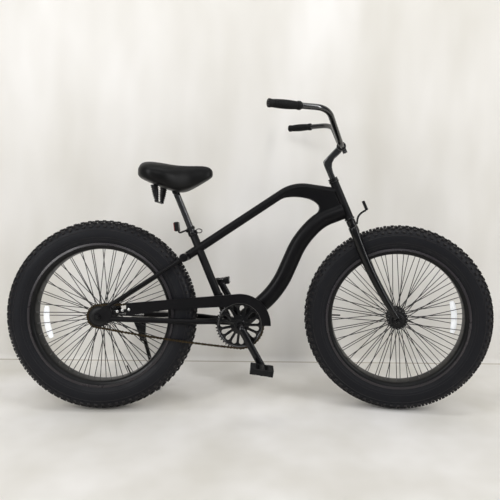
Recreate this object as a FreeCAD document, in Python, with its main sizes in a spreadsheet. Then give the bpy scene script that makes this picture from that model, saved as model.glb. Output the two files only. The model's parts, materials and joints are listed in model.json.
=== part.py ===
import FreeCAD, Part
import math
import os
import Sketcher

# Beach cruiser bicycle with fat tyres, parked on its side stand.
# The bike is drawn upright in its own frame: X runs forward from the rear axle, Y to the rider's
# left, Z up from the height of the axles. The whole bike then leans onto its stand, and what
# steers turns first about the head tube's axis.

Vector = FreeCAD.Vector
Rotation = FreeCAD.Rotation
Placement = FreeCAD.Placement

doc = FreeCAD.newDocument("beach_cruiser")
sheet = doc.addObject("Spreadsheet::Sheet", "Sizes")

# alias, value (millimetres, degrees or a count), what it is
sizes = [
    ("lean_angle", 6, "lean to the left, onto the stand"),
    ("steer_angle", -10, "the front wheel's turn as parked, minus is to the right"),
    ("wheelbase", 1185, "axle to axle"),
    ("head_angle", 66, "steering axis above the horizontal"),
    ("fork_rake", 20, "front axle ahead of the steering axis"),
    ("tyre_radius", 377, "out to the tips of the knobs"),
    ("tyre_half_width", 50, "sidewall at its widest"),
    ("tread_half_width", 20, "flat middle of the tread"),
    ("shoulder_half_width", 43, "edge of the tread"),
    ("shoulder_drop", 18, "edge of the tread inside the crown"),
    ("knob_height", 5.5, "tread knobs above the casing"),
    ("knob_width", 22, "tread knob round the tyre"),
    ("knob_gap", 3, "tread knobs beside the middle of the tread"),
    ("tyre_facets", 48, "flat facets round a tyre and a rim, each with one knob"),
    ("belly_drop", 52, "widest place inside the crown"),
    ("tyre_height", 90, "rim's lip to the tips of the knobs"),
    ("rim_half_width", 40, "outside of the rim"),
    ("rim_depth", 25, "lip to the spoke bed"),
    ("rim_bed_half_width", 34, "spoke bed"),
    ("rim_lip", 8, "height of the upright side wall"),
    ("spoke_width", 2, "spoke section"),
    ("spoke_pairs", 18, "crossed pairs of spokes on each flange"),
    ("spoke_sweep", 22.5, "turn of a spoke from its flange hole to its rim hole"),
    ("spoke_bed_offset", 7, "rim hole beside the middle of the rim"),
    ("front_flange_radius", 41, "front hub flange"),
    ("front_shell_radius", 17, "front hub shell"),
    ("rear_flange_radius", 41, "rear hub flange"),
    ("rear_shell_radius", 31, "rear hub shell, the brake is inside"),
    ("flange_offset", 33, "middle of the flange beside the wheel's middle"),
    ("flange_thickness", 4, "hub flange"),
    ("flange_hole_inset", 4, "spoke holes inside the flange's edge"),
    ("hub_end", 66, "hub's end beside the wheel's middle"),
    ("hub_end_radius", 12, "bearing cover"),
    ("axle_radius", 4.8, "wheel axles"),
    ("axle_clearance", 0.7, "hub bore round its axle"),
    ("axle_end", 90, "axle's end beside the wheel's middle"),
    ("nut_radius", 9.5, "axle nut across its corners, halved"),
    ("nut_thickness", 9, "axle nut"),
    ("valve_length", 34, "valve stem inside the rim"),
    ("valve_radius", 3, "valve stem"),
    ("valve_angle", 180, "front valve round the wheel, from forward"),
    ("reflector_drop", 51, "wheel reflector's middle line inside the rim's lip"),
    ("reflector_height", 24, "wheel reflector across its band"),
    ("reflector_span", 28, "wheel reflector's arc"),
    ("reflector_thickness", 9, "wheel reflector"),
    ("front_reflector_angle", 8, "front wheel reflector round the wheel, from forward"),
    ("rear_reflector_angle", 182, "rear wheel reflector round the wheel, from forward"),
    ("dropout_offset", 72, "dropout's middle plane beside the bike's"),
    ("dropout_thickness", 6, "dropout plates"),
    ("head_tube_radius", 18, "head tube"),
    ("head_bore_radius", 15.5, "inside of the head tube"),
    ("head_tube_low", 450, "head tube's lower end along the steering axis"),
    ("head_tube_length", 153, "head tube"),
    ("cup_radius", 21, "headset cups"),
    ("cup_height", 9, "headset cups"),
    ("steerer_radius", 12.7, "fork steerer"),
    ("race_gap", 0.4, "headset running gap"),
    ("locknut_radius", 17.5, "headset locknut"),
    ("locknut_height", 11, "headset locknut"),
    ("crown_low", 386, "underside of the fork crown along the steering axis"),
    ("crown_height", 30, "fork crown"),
    ("crown_depth", 34, "fork crown fore and aft"),
    ("fork_leg_offset", 73, "fork leg's middle beside the bike's"),
    ("fork_leg_radius", 15, "top of the fork leg"),
    ("fork_tip_radius", 11, "foot of the fork leg"),
    ("fork_leg_forward", 12, "upper leg ahead of the steering axis"),
    ("fork_bend", 130, "where the leg starts to curve forward, along the axis"),
    ("fork_tip", 24, "foot of the leg above the axle, along the axis"),
    ("quill_radius", 11.1, "stem quill"),
    ("stem_knee", 700, "top corner of the stem along the steering axis"),
    ("bar_reach", 81, "bar clamp ahead of the steering axis"),
    ("bar_rise", 726, "bar clamp along the steering axis"),
    ("stem_width", 22, "stem side to side"),
    ("clamp_radius", 19, "bar clamp"),
    ("clamp_width", 44, "bar clamp side to side"),
    ("bar_radius", 11.1, "handlebar tube"),
    ("bar_centre", 52, "straight middle of the bar, half its length"),
    ("bar_top_offset", 243, "upper bend beside the bike's middle"),
    ("bar_top_back", 287, "upper bend, behind the front axle"),
    ("bar_top_z", 804, "height of the grips"),
    ("bar_end_back", 491, "grip end, behind the front axle"),
    ("bar_end_offset", 366, "grip end beside the bike's middle"),
    ("grip_length", 125, "rubber grip"),
    ("grip_radius", 16, "rubber grip"),
    ("grip_clearance", 0.3, "grip round the bar"),
    ("top_tube_radius", 17.5, "top tube"),
    ("top_tube_bend_back", 437, "where the top tube turns level, behind the front axle"),
    ("top_tube_bend_z", 524, "where the top tube turns level"),
    ("top_tube_joint", 569, "top tube's end along the steering axis"),
    ("yoke_x", 326, "seat stay yoke"),
    ("yoke_z", 234, "seat stay yoke"),
    ("yoke_radius", 16.5, "seat stay yoke"),
    ("down_tube_half_height", 34, "down tube in side view"),
    ("down_tube_half_width", 28, "down tube side to side"),
    ("down_low_bend_back", 487, "lower bend of the down tube, behind the front axle"),
    ("down_low_bend_z", 106, "lower bend of the down tube"),
    ("down_mid_bend_back", 402, "middle bend of the down tube, behind the front axle"),
    ("down_mid_bend_z", 305, "middle bend of the down tube"),
    ("down_high_bend_back", 323, "upper bend of the down tube, behind the front axle"),
    ("down_high_bend_z", 393, "upper bend of the down tube"),
    ("down_tube_joint", 486, "down tube's end along the steering axis"),
    ("web_half_width", 15, "gusset between the top tube and the down tube"),
    ("web_window_radius", 31, "round front end of the window behind the gusset"),
    ("web_window_back", 354, "middle of that round end, behind the front axle"),
    ("web_window_z", 445, "middle of that round end"),
    ("seat_angle", 67, "seat tube above the horizontal"),
    ("seat_tube_x", 370, "seat tube's axis at the top tube"),
    ("seat_tube_z", 289, "seat tube's axis at the top tube"),
    ("seat_tube_radius", 15.9, "seat tube"),
    ("seat_tube_wall", 2.4, "seat tube wall"),
    ("seat_tube_low", -11, "foot of the seat tube"),
    ("seat_tube_top", 339, "top of the seat tube"),
    ("collar_radius", 19.5, "seat collar"),
    ("collar_height", 18, "seat collar"),
    ("seat_post_radius", 12.7, "seat post"),
    ("seat_post_insert", 90, "seat post inside the seat tube"),
    ("seat_post_drop", 12, "top of the seat post under the saddle"),
    ("bottom_x", 549, "crank axle ahead of the rear axle"),
    ("bottom_z", -27, "crank axle above the floor"),
    ("shell_radius", 24, "bottom bracket shell"),
    ("shell_half_length", 50, "bottom bracket shell"),
    ("shell_bore", 17, "inside of the bottom bracket shell"),
    ("chain_stay_radius", 11, "chain stays"),
    ("chain_stay_offset", 70, "chain stay beside the tyre"),
    ("chain_stay_neck_x", 378, "where the chain stays turn inward"),
    ("chain_stay_z", -15, "height of the chain stays there"),
    ("chain_stay_front_x", 440, "where the chain stays run straight again"),
    ("chain_stay_front_offset", 41, "chain stay beside the bike's middle there"),
    ("seat_stay_radius", 8, "seat stays"),
    ("seat_stay_offset", 75, "seat stay beside the bike's middle at the dropout"),
    ("yoke_half_length", 80, "yoke side to side, halved"),
    ("stay_foot_x", 34, "seat stay's foot"),
    ("stay_foot_z", 39, "seat stay's foot"),
    ("chain_stay_drop", 8, "chain stay's rear end below the axle"),
    ("chain_stay_foot_x", 44, "chain stay's rear end"),
    ("chain_pitch", 12.7, "chain link"),
    ("ring_teeth", 44, "chainring teeth"),
    ("cog_teeth", 18, "sprocket teeth"),
    ("chain_line", 60, "chain beside the bike's middle"),
    ("tooth_height", 5, "tooth tip beyond the pitch circle"),
    ("tooth_thickness", 2.4, "chainring and sprocket"),
    ("plate_half_height", 4.2, "chain plate above its pins"),
    ("plate_gap", 3.8, "between the chain's side plates"),
    ("plate_thickness", 1.5, "chain side plate"),
    ("roller_radius", 3.2, "chain roller"),
    ("petal_count", 15, "openings in the chainring"),
    ("petal_inner", 38, "openings' inner end from the crank axle"),
    ("petal_outer", 76, "openings' outer end from the crank axle"),
    ("petal_half_width", 7, "openings' widest place, halved"),
    ("crank_length", 175, "crank axle to pedal axle"),
    ("crank_angle", -60, "right crank above the forward horizontal"),
    ("crank_radius", 10, "one-piece crank bar"),
    ("crank_shoulder", 90, "crank's bend beside the bike's middle"),
    ("crank_tip", 100, "crank's tip beside the bike's middle"),
    ("crank_boss_radius", 14, "pedal eye"),
    ("crank_boss_height", 15, "pedal eye"),
    ("pedal_axle_radius", 6, "pedal axle"),
    ("pedal_gap", 6, "pedal beside the pedal eye"),
    ("pedal_width", 94, "pedal side to side"),
    ("pedal_length", 88, "pedal fore and aft"),
    ("pedal_height", 26, "pedal"),
    ("pedal_bar", 22, "pedal's front and rear bars, fore and aft"),
    ("pedal_core_radius", 12, "pedal barrel"),
    ("pedal_bore_clearance", 0.5, "pedal round its axle"),
    ("pedal_tilt", 8, "right pedal's nose below the level"),
    ("guard_line", 70, "chain guard beside the bike's middle"),
    ("guard_thickness", 2, "chain guard"),
    ("guard_outer_radius", 122, "guard round the chainring"),
    ("guard_inner_radius", 86, "guard's window over the chainring"),
    ("guard_rear_x", 106, "guard's rear end"),
    ("guard_rear_top", 53, "guard's rear end"),
    ("guard_rear_bottom", 4, "guard's rear end"),
    ("guard_waist_x", 275, "bend of the guard's lower edge"),
    ("guard_waist_z", 31, "bend of the guard's lower edge"),
    ("guard_foot_z", 45, "guard's lower edge at the chainring"),
    ("guard_nose_z", -29, "guard's cut front end"),
    ("strap_rise", 14, "guard's rear strap above the axle"),
    ("clip_height", 79, "guard's front clip on the seat tube, above the axles"),
    ("guard_flange", 11, "guard's turned-in edge"),
    ("brake_arm_end", 150, "front end of the brake arm"),
    ("stand_x", 143, "stand pivot"),
    ("stand_z", -109, "stand pivot"),
    ("stand_offset", 84, "stand pivot beside the bike's middle"),
    ("stand_tilt", 24, "stand's pin, tilted up to the left"),
    ("stand_pin_radius", 5, "stand's pin"),
    ("stand_radius", 8, "stand leg"),
    ("stand_foot_x", 186, "stand's foot"),
    ("stand_foot_offset", 196, "stand's foot beside the bike's middle"),
    ("stand_foot_radius", 11, "rubber foot"),
    ("saddle_nose_x", 424, "saddle's tip"),
    ("saddle_rear_x", 132, "saddle's rear"),
    ("saddle_half_width", 124, "saddle at its widest"),
    ("saddle_nose_half_width", 27, "saddle's nose"),
    ("saddle_top", 615, "saddle's rear crown"),
    ("saddle_dip", 14, "saddle's middle below its rear crown"),
    ("saddle_low", 500, "underside"),
    ("spring_radius", 17, "saddle springs"),
    ("spring_x", 214, "saddle springs"),
    ("spring_offset", 44, "saddle spring beside the bike's middle"),
    ("spring_height", 47, "foot of the saddle springs under the saddle's underside"),
    ("rail_radius", 4, "saddle rails"),
    ("rear_lamp_width", 44, "rear reflector side to side"),
    ("rear_lamp_height", 38, "rear reflector"),
    ("rear_lamp_depth", 20, "rear reflector fore and aft"),
    ("rear_lamp_x", 288, "rear reflector"),
    ("rear_lamp_z", 355, "rear reflector"),
    ("front_lamp_width", 52, "front reflector side to side"),
    ("front_lamp_height", 48, "front reflector"),
    ("front_lamp_depth", 12, "front reflector fore and aft"),
    ("front_lamp_reach", 80, "front reflector ahead of the steering axis"),
    ("front_lamp_rise", 487, "front reflector along the steering axis"),
    ("bracket_radius", 3.5, "reflector brackets"),
    ("seat_gap", 0.3, "between pieces that bear on each other"),
]
for row, (alias, value, note) in enumerate(sizes, start=1):
    sheet.set(f"A{row}", str(value))
    sheet.setAlias(f"A{row}", alias)
    sheet.set(f"B{row}", note)
doc.recompute()


class Size:
    # Reads a named size from the sheet.
    def __getattr__(self, name):
        return float(sheet.get(name))


size = Size()
nodes = {}


# Frames and points

head = math.radians(size.head_angle)
steer_up = Vector(-math.cos(head), 0, math.sin(head))
steer_forward = Vector(math.sin(head), 0, math.cos(head))
rim_radius = size.tyre_radius - size.tyre_height
rear_axle = Vector(0, 0, 0)
front_axle = Vector(size.wheelbase, 0, 0)
steer_foot = front_axle - steer_forward * size.fork_rake
crank_axle = Vector(size.bottom_x, 0, size.bottom_z)
chain_y = -size.chain_line
seat_up = Vector(-math.cos(math.radians(size.seat_angle)), 0, math.sin(math.radians(size.seat_angle)))


def on_steerer(forward, along, side=0):
    # A point by its reach ahead of the steering axis and its height along it.
    return steer_foot + steer_forward * forward + steer_up * along + Vector(0, side, 0)


def on_seat_tube(z):
    # The point of the seat tube's axis at a height.
    run = (z - size.seat_tube_z) / seat_up.z
    return Vector(size.seat_tube_x, 0, size.seat_tube_z) + seat_up * run


def turn_about(point, axis, angle):
    return Placement(Vector(0, 0, 0), Rotation(axis, angle), point)


casing_profile = [
    ("Sizes.rim_half_width - 2", "Sizes.tyre_radius - Sizes.tyre_height + Sizes.seat_gap"),
    ("Sizes.tyre_half_width", "Sizes.tyre_radius - Sizes.belly_drop"),
    ("Sizes.shoulder_half_width", "Sizes.tyre_radius - Sizes.shoulder_drop - Sizes.knob_height"),
    ("Sizes.tread_half_width", "Sizes.tyre_radius - Sizes.knob_height"),
]
knob_profile = [
    ("Sizes.knob_gap", "Sizes.tyre_radius"),
    ("Sizes.tread_half_width", "Sizes.tyre_radius"),
    ("Sizes.shoulder_half_width + Sizes.knob_height / 3", "Sizes.tyre_radius - Sizes.shoulder_drop"),
    ("Sizes.shoulder_half_width - Sizes.knob_height", "Sizes.tyre_radius - Sizes.shoulder_drop - Sizes.knob_height"),
    ("Sizes.knob_gap", "Sizes.tyre_radius - 2 * Sizes.knob_height"),
]


def value_of(expression):
    return float(sheet.evalExpression(str(expression).replace("Sizes.", "")))


def knob_turns(side):
    # The knobs of the two halves of the tread alternate round the tyre, one on each facet.
    step = 360 / size.tyre_facets
    start = 0 if side > 0 else 1
    return [step * number for number in range(start, round(size.tyre_facets), 2)]


def lowest(wheel_centre, place):
    # The tyre's lowest height once placed, over the outer corners of all its knobs.
    half = size.knob_width / 2
    heights = []
    for side in (-1, 1):
        for turn in knob_turns(side):
            spin = Rotation(Vector(0, 1, 0), turn)
            for across, up in knob_profile[:3]:
                for along in (-half, half):
                    corner = spin.multVec(Vector(along, side * value_of(across), value_of(up)))
                    heights.append(place.multVec(wheel_centre + corner).z)
    return min(heights)


steer_turn = turn_about(steer_foot, steer_up, size.steer_angle)


def settle():
    # Leans the bike, then pitches it by the little that puts both tyres on the floor.
    lean = Placement(Vector(0, 0, 0), Rotation(Vector(1, 0, 0), -size.lean_angle))
    pitch = 0.0
    for _ in range(4):
        place = Placement(Vector(0, 0, 0), Rotation(Vector(0, 1, 0), pitch)) * lean
        step = lowest(front_axle, place * steer_turn) - lowest(rear_axle, place)
        pitch += math.degrees(step / size.wheelbase)
    place = Placement(Vector(0, 0, 0), Rotation(Vector(0, 1, 0), pitch)) * lean
    return Placement(Vector(0, 0, -lowest(rear_axle, place)), Rotation()) * place


root_place = settle()
steered_place = root_place * steer_turn
group_place = {"root": root_place, "steered": steered_place}


# Makers

def bind(piece, **expressions):
    for name, expression in expressions.items():
        piece.setExpression(name, str(expression))


def keep(piece, label, group="root", local=Placement()):
    # Names a finished piece after its file and remembers which part of the bike carries it.
    piece.Label = label
    nodes[label] = (piece, group, local)
    return piece


def facing(start, end):
    # Puts a piece that is drawn up +Z between two points.
    return Placement(start, Rotation(Vector(0, 0, 1), end - start))


def cylinder(name, start, end, radius):
    piece = doc.addObject("Part::Cylinder", name)
    bind(piece, Radius=radius, Height=(end - start).Length)
    piece.Placement = facing(start, end)
    return piece


def rod(name, start, end, radius, sides=12):
    # A round bar; its many flats keep the model light.
    piece = doc.addObject("Part::Prism", name)
    piece.Polygon = sides
    piece.Placement = facing(start, end)
    piece.Height = (end - start).Length
    bind(piece, Circumradius=radius)
    return piece


def box(name, middle, length, width, height, turn=Rotation()):
    # A block by its middle; length, width and height are expressions.
    piece = doc.addObject("Part::Box", name)
    bind(piece, Length=length, Width=width, Height=height)
    doc.recompute()
    half = Vector(piece.Length.Value, piece.Width.Value, piece.Height.Value) * -0.5
    piece.Placement = Placement(middle, turn) * Placement(half, Rotation())
    return piece


def fuse(name, *pieces):
    piece = doc.addObject("Part::MultiFuse", name)
    piece.Shapes = list(pieces)
    return piece


def cut(name, base, *tools):
    piece = doc.addObject("Part::Cut", name)
    piece.Base = base
    piece.Tool = tools[0] if len(tools) == 1 else fuse(name + "_tools", *tools)
    return piece


def route(points, tight=None, step=18):
    # The corners of a bent bar: each bend is as large as its two runs allow, or starts at the
    # stated distance from its corner, and goes round in short runs.
    spots = [points[0]]
    for number, (before, corner, after) in enumerate(zip(points, points[1:], points[2:])):
        back = before - corner
        ahead = after - corner
        reach = tight[number] if tight else 0.45 * min(back.Length, ahead.Length)
        back.normalize()
        ahead.normalize()
        turn = math.pi - back.getAngle(ahead)
        radius = reach / math.tan(turn / 2)
        centre = corner + (back + ahead).normalize() * (radius / math.cos(turn / 2))
        start = corner + back * reach - centre
        axis = start.cross(corner + ahead * reach - centre)
        count = max(2, round(math.degrees(turn) / step))
        for part in range(count + 1):
            swing = Rotation(axis, math.degrees(turn) * part / count)
            spots.append(centre + swing.multVec(start))
    return spots + [points[-1]]


def ring_section(name, spot, along, radius, sides, half_width=None):
    # The outline that a bar is swept or lofted from, flats first across Y, round or oval.
    across = along.cross(Vector(0, 1, 0))
    if across.Length < along.Length * 0.01:
        across = Vector(0, 0, 1)
    ring = doc.addObject("Part::Feature" if half_width else "Part::RegularPolygon", name)
    if half_width:
        tall = value_of(radius)
        wide = value_of(half_width)
        angles = [2 * math.pi * (index + 0.5) / sides for index in range(sides)]
        corners = [Vector(tall * math.cos(angle), wide * math.sin(angle), 0) for angle in angles]
        ring.Shape = Part.makePolygon(corners + corners[:1])
    else:
        ring.Polygon = sides
        bind(ring, Circumradius=radius)
    ring.Placement = Placement(spot, Rotation(across, Vector(0, 1, 0), along, "ZXY"))
    return ring


def pipe(name, points, radius, sides=12, half_width=None, tight=None):
    # A bar or tube of one section swept along a route.
    spots = route(points, tight)
    path = doc.addObject("Part::Feature", name + "_path")
    path.Shape = Part.makePolygon(spots)
    section = ring_section(name + "_section", spots[0], spots[1] - spots[0], radius, sides, half_width)
    piece = doc.addObject("Part::Sweep", name)
    piece.Sections = [section]
    piece.Spine = (path, [f"Edge{index + 1}" for index in range(len(spots) - 1)])
    piece.Solid = True
    piece.Transition = "Right corner"
    return piece


def taper(name, points, start_radius, end_radius, sides=12):
    # A bar that thins evenly along its route, lofted through a section at each corner.
    spots = route(points)
    total = sum((end - start).Length for start, end in zip(spots, spots[1:]))
    sections = []
    run = 0
    for number, spot in enumerate(spots):
        before = spots[max(number - 1, 0)]
        after = spots[min(number + 1, len(spots) - 1)]
        run += (spot - before).Length
        share = run / total
        radius = f"({start_radius}) * {1 - share} + ({end_radius}) * {share}"
        sections.append(ring_section(f"{name}_section{number}", spot, after - before, radius, sides))
    piece = doc.addObject("Part::Loft", name)
    piece.Sections = sections
    piece.Ruled = True
    piece.Solid = True
    return piece


def plane_of(body, role):
    return [plane for plane in body.Origin.OriginFeatures if plane.Role == role][0]


def outline_sketch(body, name, corners, role):
    # A closed outline of straight lines whose corners are bound to the sheet.
    sketch = body.newObject("Sketcher::SketchObject", name)
    sketch.AttachmentSupport = (plane_of(body, role), [""])
    sketch.MapMode = "FlatFace"
    spots = [Vector(value_of(across), value_of(up), 0) for across, up in corners]
    for start, end in zip(spots, spots[1:] + spots[:1]):
        sketch.addGeometry(Part.LineSegment(start, end))
    count = len(corners)
    for index in range(count):
        sketch.addConstraint(Sketcher.Constraint("Coincident", index, 2, (index + 1) % count, 1))
    for index, (across, up) in enumerate(corners):
        for kind, expression, value in (
            ("DistanceX", across, spots[index].x),
            ("DistanceY", up, spots[index].y),
        ):
            number = sketch.addConstraint(Sketcher.Constraint(kind, -1, 1, index, 1, value))
            if "Sizes" in str(expression):
                sketch.setExpression(f"Constraints[{number}]", str(expression))
    return sketch


def turned(name, profile):
    # A body turned round its own Y axis; the profile is a closed list of (along Y, radius).
    body = doc.addObject("PartDesign::Body", name)
    sketch = outline_sketch(body, name + "_profile", profile, "YZ_Plane")
    spin = body.newObject("PartDesign::Revolution", name + "_turned")
    spin.Profile = sketch
    spin.ReferenceAxis = (sketch, ["H_Axis"])
    spin.Angle = 360
    return body


def plate(name, outline, thickness):
    # A flat body in side view, half its thickness each side of its own plane.
    body = doc.addObject("PartDesign::Body", name)
    sketch = outline_sketch(body, name + "_outline", outline, "XZ_Plane")
    pad = body.newObject("PartDesign::Pad", name + "_pad")
    pad.Profile = sketch
    pad.Midplane = True
    bind(pad, Length=thickness)
    return body


def mirrored(profile):
    # A profile's right half, then its left half in return order, so that it closes.
    return profile + [(f"-({across})", up) for across, up in reversed(profile)]


def spun(angle, centre):
    # A turn in side view, seen from the bike's right, with plus turning forward to up.
    return Placement(centre, Rotation(Vector(0, 1, 0), -angle))


side_names = ((1, "left"), (-1, "right"))
wheels = (("front", front_axle, "steered"), ("rear", rear_axle, "root"))


# Wheels


def faceted_ring(profile, sides):
    # A ring of flat facets; the profile is a closed list of (along Y, radius across the flats).
    spread = 1 / math.cos(math.pi / sides)
    rings = []
    for across, up in profile:
        radius = value_of(up) * spread
        rings.append([
            Vector(
                radius * math.sin(2 * math.pi * (number + 0.5) / sides),
                value_of(across),
                radius * math.cos(2 * math.pi * (number + 0.5) / sides),
            )
            for number in range(sides)
        ])
    facets = []
    for this, after in zip(rings, rings[1:] + rings[:1]):
        for number in range(sides):
            near = (number + 1) % sides
            corners = [this[number], this[near], after[near], after[number]]
            facets.append(Part.Face(Part.makePolygon(corners + corners[:1])))
    shell = Part.makeShell(facets)
    shell.sewShape()
    return Part.makeSolid(shell)


def knob(side):
    # One knob on the top facet, drawn in the tyre's section and as long as it is round the tyre.
    half = size.knob_width / 2
    corners = [Vector(-half, side * value_of(across), value_of(up)) for across, up in knob_profile]
    return Part.Face(Part.makePolygon(corners + corners[:1])).extrude(Vector(2 * half, 0, 0))


def make_tyre(where, centre, group):
    # The casing, with one knob on each of its facets, on the left and the right in turn.
    casing = faceted_ring(mirrored(casing_profile), round(size.tyre_facets))
    knobs = []
    for side, _ in side_names:
        first = knob(side)
        for turn in knob_turns(side):
            copy = first.copy()
            copy.rotate(Vector(0, 0, 0), Vector(0, 1, 0), turn)
            knobs.append(copy)
    piece = doc.addObject("Part::Feature", f"{where}_tyre_shape")
    piece.Shape = casing.fuse(knobs)
    keep(piece, f"{where}_tyre", group, Placement(centre, Rotation()))


def make_rim(where, centre, group):
    profile = [
        ("Sizes.rim_bed_half_width", "Sizes.tyre_radius - Sizes.tyre_height - Sizes.rim_depth"),
        ("Sizes.rim_half_width", "Sizes.tyre_radius - Sizes.tyre_height - Sizes.rim_lip"),
        ("Sizes.rim_half_width", "Sizes.tyre_radius - Sizes.tyre_height"),
    ]
    piece = doc.addObject("Part::Feature", f"{where}_rim_shape")
    piece.Shape = faceted_ring(mirrored(profile), round(size.tyre_facets))
    keep(piece, f"{where}_rim", group, Placement(centre, Rotation()))


def make_hub(where, centre, group):
    # The shell, its two flanges and the bearing covers, bored for the axle.
    flange = size.flange_offset
    half = size.flange_thickness / 2
    stack = [
        ("shell", -flange, flange, f"Sizes.{where}_shell_radius"),
        ("flange_right", -flange - half, -flange + half, f"Sizes.{where}_flange_radius"),
        ("flange_left", flange - half, flange + half, f"Sizes.{where}_flange_radius"),
        ("cover", -size.hub_end + 4, size.hub_end - 4, "Sizes.hub_end_radius + 8"),
        ("end", -size.hub_end, size.hub_end, "Sizes.hub_end_radius"),
    ]
    pieces = [
        rod(f"{where}_hub_{name}", Vector(0, start, 0), Vector(0, end, 0), radius, 14)
        for name, start, end, radius in stack
    ]
    reach = Vector(0, size.hub_end + 1, 0)
    bore = rod(f"{where}_hub_bore", -reach, reach, "Sizes.axle_radius + Sizes.axle_clearance", 12)
    piece = cut(f"{where}_hub_bored", fuse(f"{where}_hub_fused", *pieces), bore)
    keep(piece, f"{where}_hub", group, Placement(centre, Rotation()))


def spoke_shape(start, end, width):
    # A bar of square section between two points.
    half = width / 2
    corners = [Vector(-half, -half, 0), Vector(half, -half, 0), Vector(half, half, 0), Vector(-half, half, 0)]
    face = Part.Face(Part.makePolygon(corners + corners[:1]))
    bar = face.extrude(Vector(0, 0, (end - start).Length))
    bar.Placement = facing(start, end)
    return bar


def make_spokes(where, centre, group):
    flange_radius = value_of(f"{where}_flange_radius") - size.flange_hole_inset
    bed_radius = rim_radius - size.rim_depth - size.seat_gap
    step = 360 / size.spoke_pairs
    bars = []
    for side, _ in side_names:
        for number in range(round(size.spoke_pairs)):
            for lean, seat in ((1, 1), (-1, -1)):
                hole = number * step + (step / 2 if side > 0 else 0)
                rim_hole = hole + lean * size.spoke_sweep
                clear = size.flange_thickness / 2 + size.spoke_width * 0.71 + size.seat_gap * 3
                start_y = side * (size.flange_offset + seat * clear)
                start = Vector(
                    flange_radius * math.cos(math.radians(hole)),
                    start_y,
                    flange_radius * math.sin(math.radians(hole)),
                )
                end = Vector(
                    bed_radius * math.cos(math.radians(rim_hole)),
                    side * (size.spoke_bed_offset + seat * size.spoke_width),
                    bed_radius * math.sin(math.radians(rim_hole)),
                )
                bars.append(spoke_shape(start, end, size.spoke_width))
    piece = doc.addObject("Part::Feature", f"{where}_spoke_bars")
    piece.Shape = Part.makeCompound(bars)
    keep(piece, f"{where}_spokes", group, Placement(centre, Rotation()))


def make_wheel_reflector(where, centre, group):
    # A short arc of a flat ring, cut from a turned ring by a wedge-shaped block.
    half = f"Sizes.reflector_thickness / 2"
    low = "Sizes.tyre_radius - Sizes.tyre_height - Sizes.reflector_drop - Sizes.reflector_height / 2"
    high = "Sizes.tyre_radius - Sizes.tyre_height - Sizes.reflector_drop + Sizes.reflector_height / 2"
    body = doc.addObject("PartDesign::Body", f"{where}_wheel_reflector_body")
    profile = [(f"-({half})", low), (half, low), (half, high), (f"-({half})", high)]
    sketch = outline_sketch(body, f"{where}_wheel_reflector_profile", profile, "YZ_Plane")
    spin = body.newObject("PartDesign::Revolution", f"{where}_wheel_reflector_turned")
    spin.Profile = sketch
    spin.ReferenceAxis = (sketch, ["H_Axis"])
    spin.Midplane = True
    bind(spin, Angle="Sizes.reflector_span")
    angle = value_of(f"{where}_reflector_angle")
    keep(body, f"{where}_wheel_reflector", group, spun(angle - 90, centre))


def make_valve(where, centre, group, angle):
    start = Vector(rim_radius - size.rim_depth - size.valve_length, 0, 0)
    end = Vector(rim_radius - size.rim_depth - size.seat_gap, 0, 0)
    piece = rod(f"{where}_valve_stem", start, end, "Sizes.valve_radius", 6)
    local = spun(angle, centre) * piece.Placement
    keep(piece, f"{where}_valve", group, local)


def make_wheels():
    for where, centre, group in wheels:
        make_tyre(where, centre, group)
        make_rim(where, centre, group)
        make_hub(where, centre, group)
        make_spokes(where, centre, group)
        make_wheel_reflector(where, centre, group)
    make_valve("front", front_axle, "steered", size.valve_angle)
    make_valve("rear", rear_axle, "root", -65)


def make_axle(where, centre, group):
    end = size.axle_end
    bar = cylinder(f"{where}_axle_bar", Vector(0, -end, 0), Vector(0, end, 0), "Sizes.axle_radius")
    pieces = [bar]
    seat = size.dropout_offset + size.dropout_thickness / 2 + size.seat_gap
    for side, name in side_names:
        nut = doc.addObject("Part::Prism", f"{where}_nut_{name}")
        bind(nut, Circumradius="Sizes.nut_radius", Height="Sizes.nut_thickness")
        nut.Polygon = 6
        nut.Placement = facing(Vector(0, side * seat, 0), Vector(0, side * (seat + 1), 0))
        pieces.append(nut)
    piece = fuse(f"{where}_axle_fused", *pieces)
    keep(piece, f"{where}_axle", group, Placement(centre, Rotation()))


# Frame

def head_cylinder(name, radius, low, high):
    return rod(name, on_steerer(0, low), on_steerer(0, high), radius, 16)


def make_head_tube():
    low = size.head_tube_low
    high = low + size.head_tube_length
    tube = cut(
        "head_tube_bored",
        head_cylinder("head_tube_outside", "Sizes.head_tube_radius", low, high),
        head_cylinder("head_tube_inside", "Sizes.head_bore_radius", low - 1, high + 1),
    )
    keep(tube, "head_tube")
    cups = []
    for name, start, end in (
        ("lower", low - size.cup_height, low - size.seat_gap),
        ("upper", high + size.seat_gap, high + size.cup_height),
    ):
        outside = head_cylinder(f"{name}_cup_outside", "Sizes.cup_radius", start, end)
        inside = head_cylinder(f"{name}_cup_inside", "Sizes.head_bore_radius", start - 1, end + 1)
        cups.append(cut(f"{name}_cup_bored", outside, inside))
    keep(fuse("headset_cups_pair", *cups), "headset_cups")


def seat_tube_cylinder(name, radius, low=None, high=None):
    low = size.seat_tube_low if low is None else low
    high = size.seat_tube_top if high is None else high
    return rod(name, on_seat_tube(low), on_seat_tube(high), radius)


def top_tube_points():
    return [
        Vector(size.yoke_x, 0, size.yoke_z),
        Vector((size.wheelbase - size.top_tube_bend_back), 0, size.top_tube_bend_z),
        on_steerer(0, size.top_tube_joint),
    ]


def down_tube_points():
    return [
        crank_axle,
        Vector((size.wheelbase - size.down_low_bend_back), 0, size.down_low_bend_z),
        Vector((size.wheelbase - size.down_mid_bend_back), 0, size.down_mid_bend_z),
        Vector((size.wheelbase - size.down_high_bend_back), 0, size.down_high_bend_z),
        on_steerer(0, size.down_tube_joint),
    ]


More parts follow.
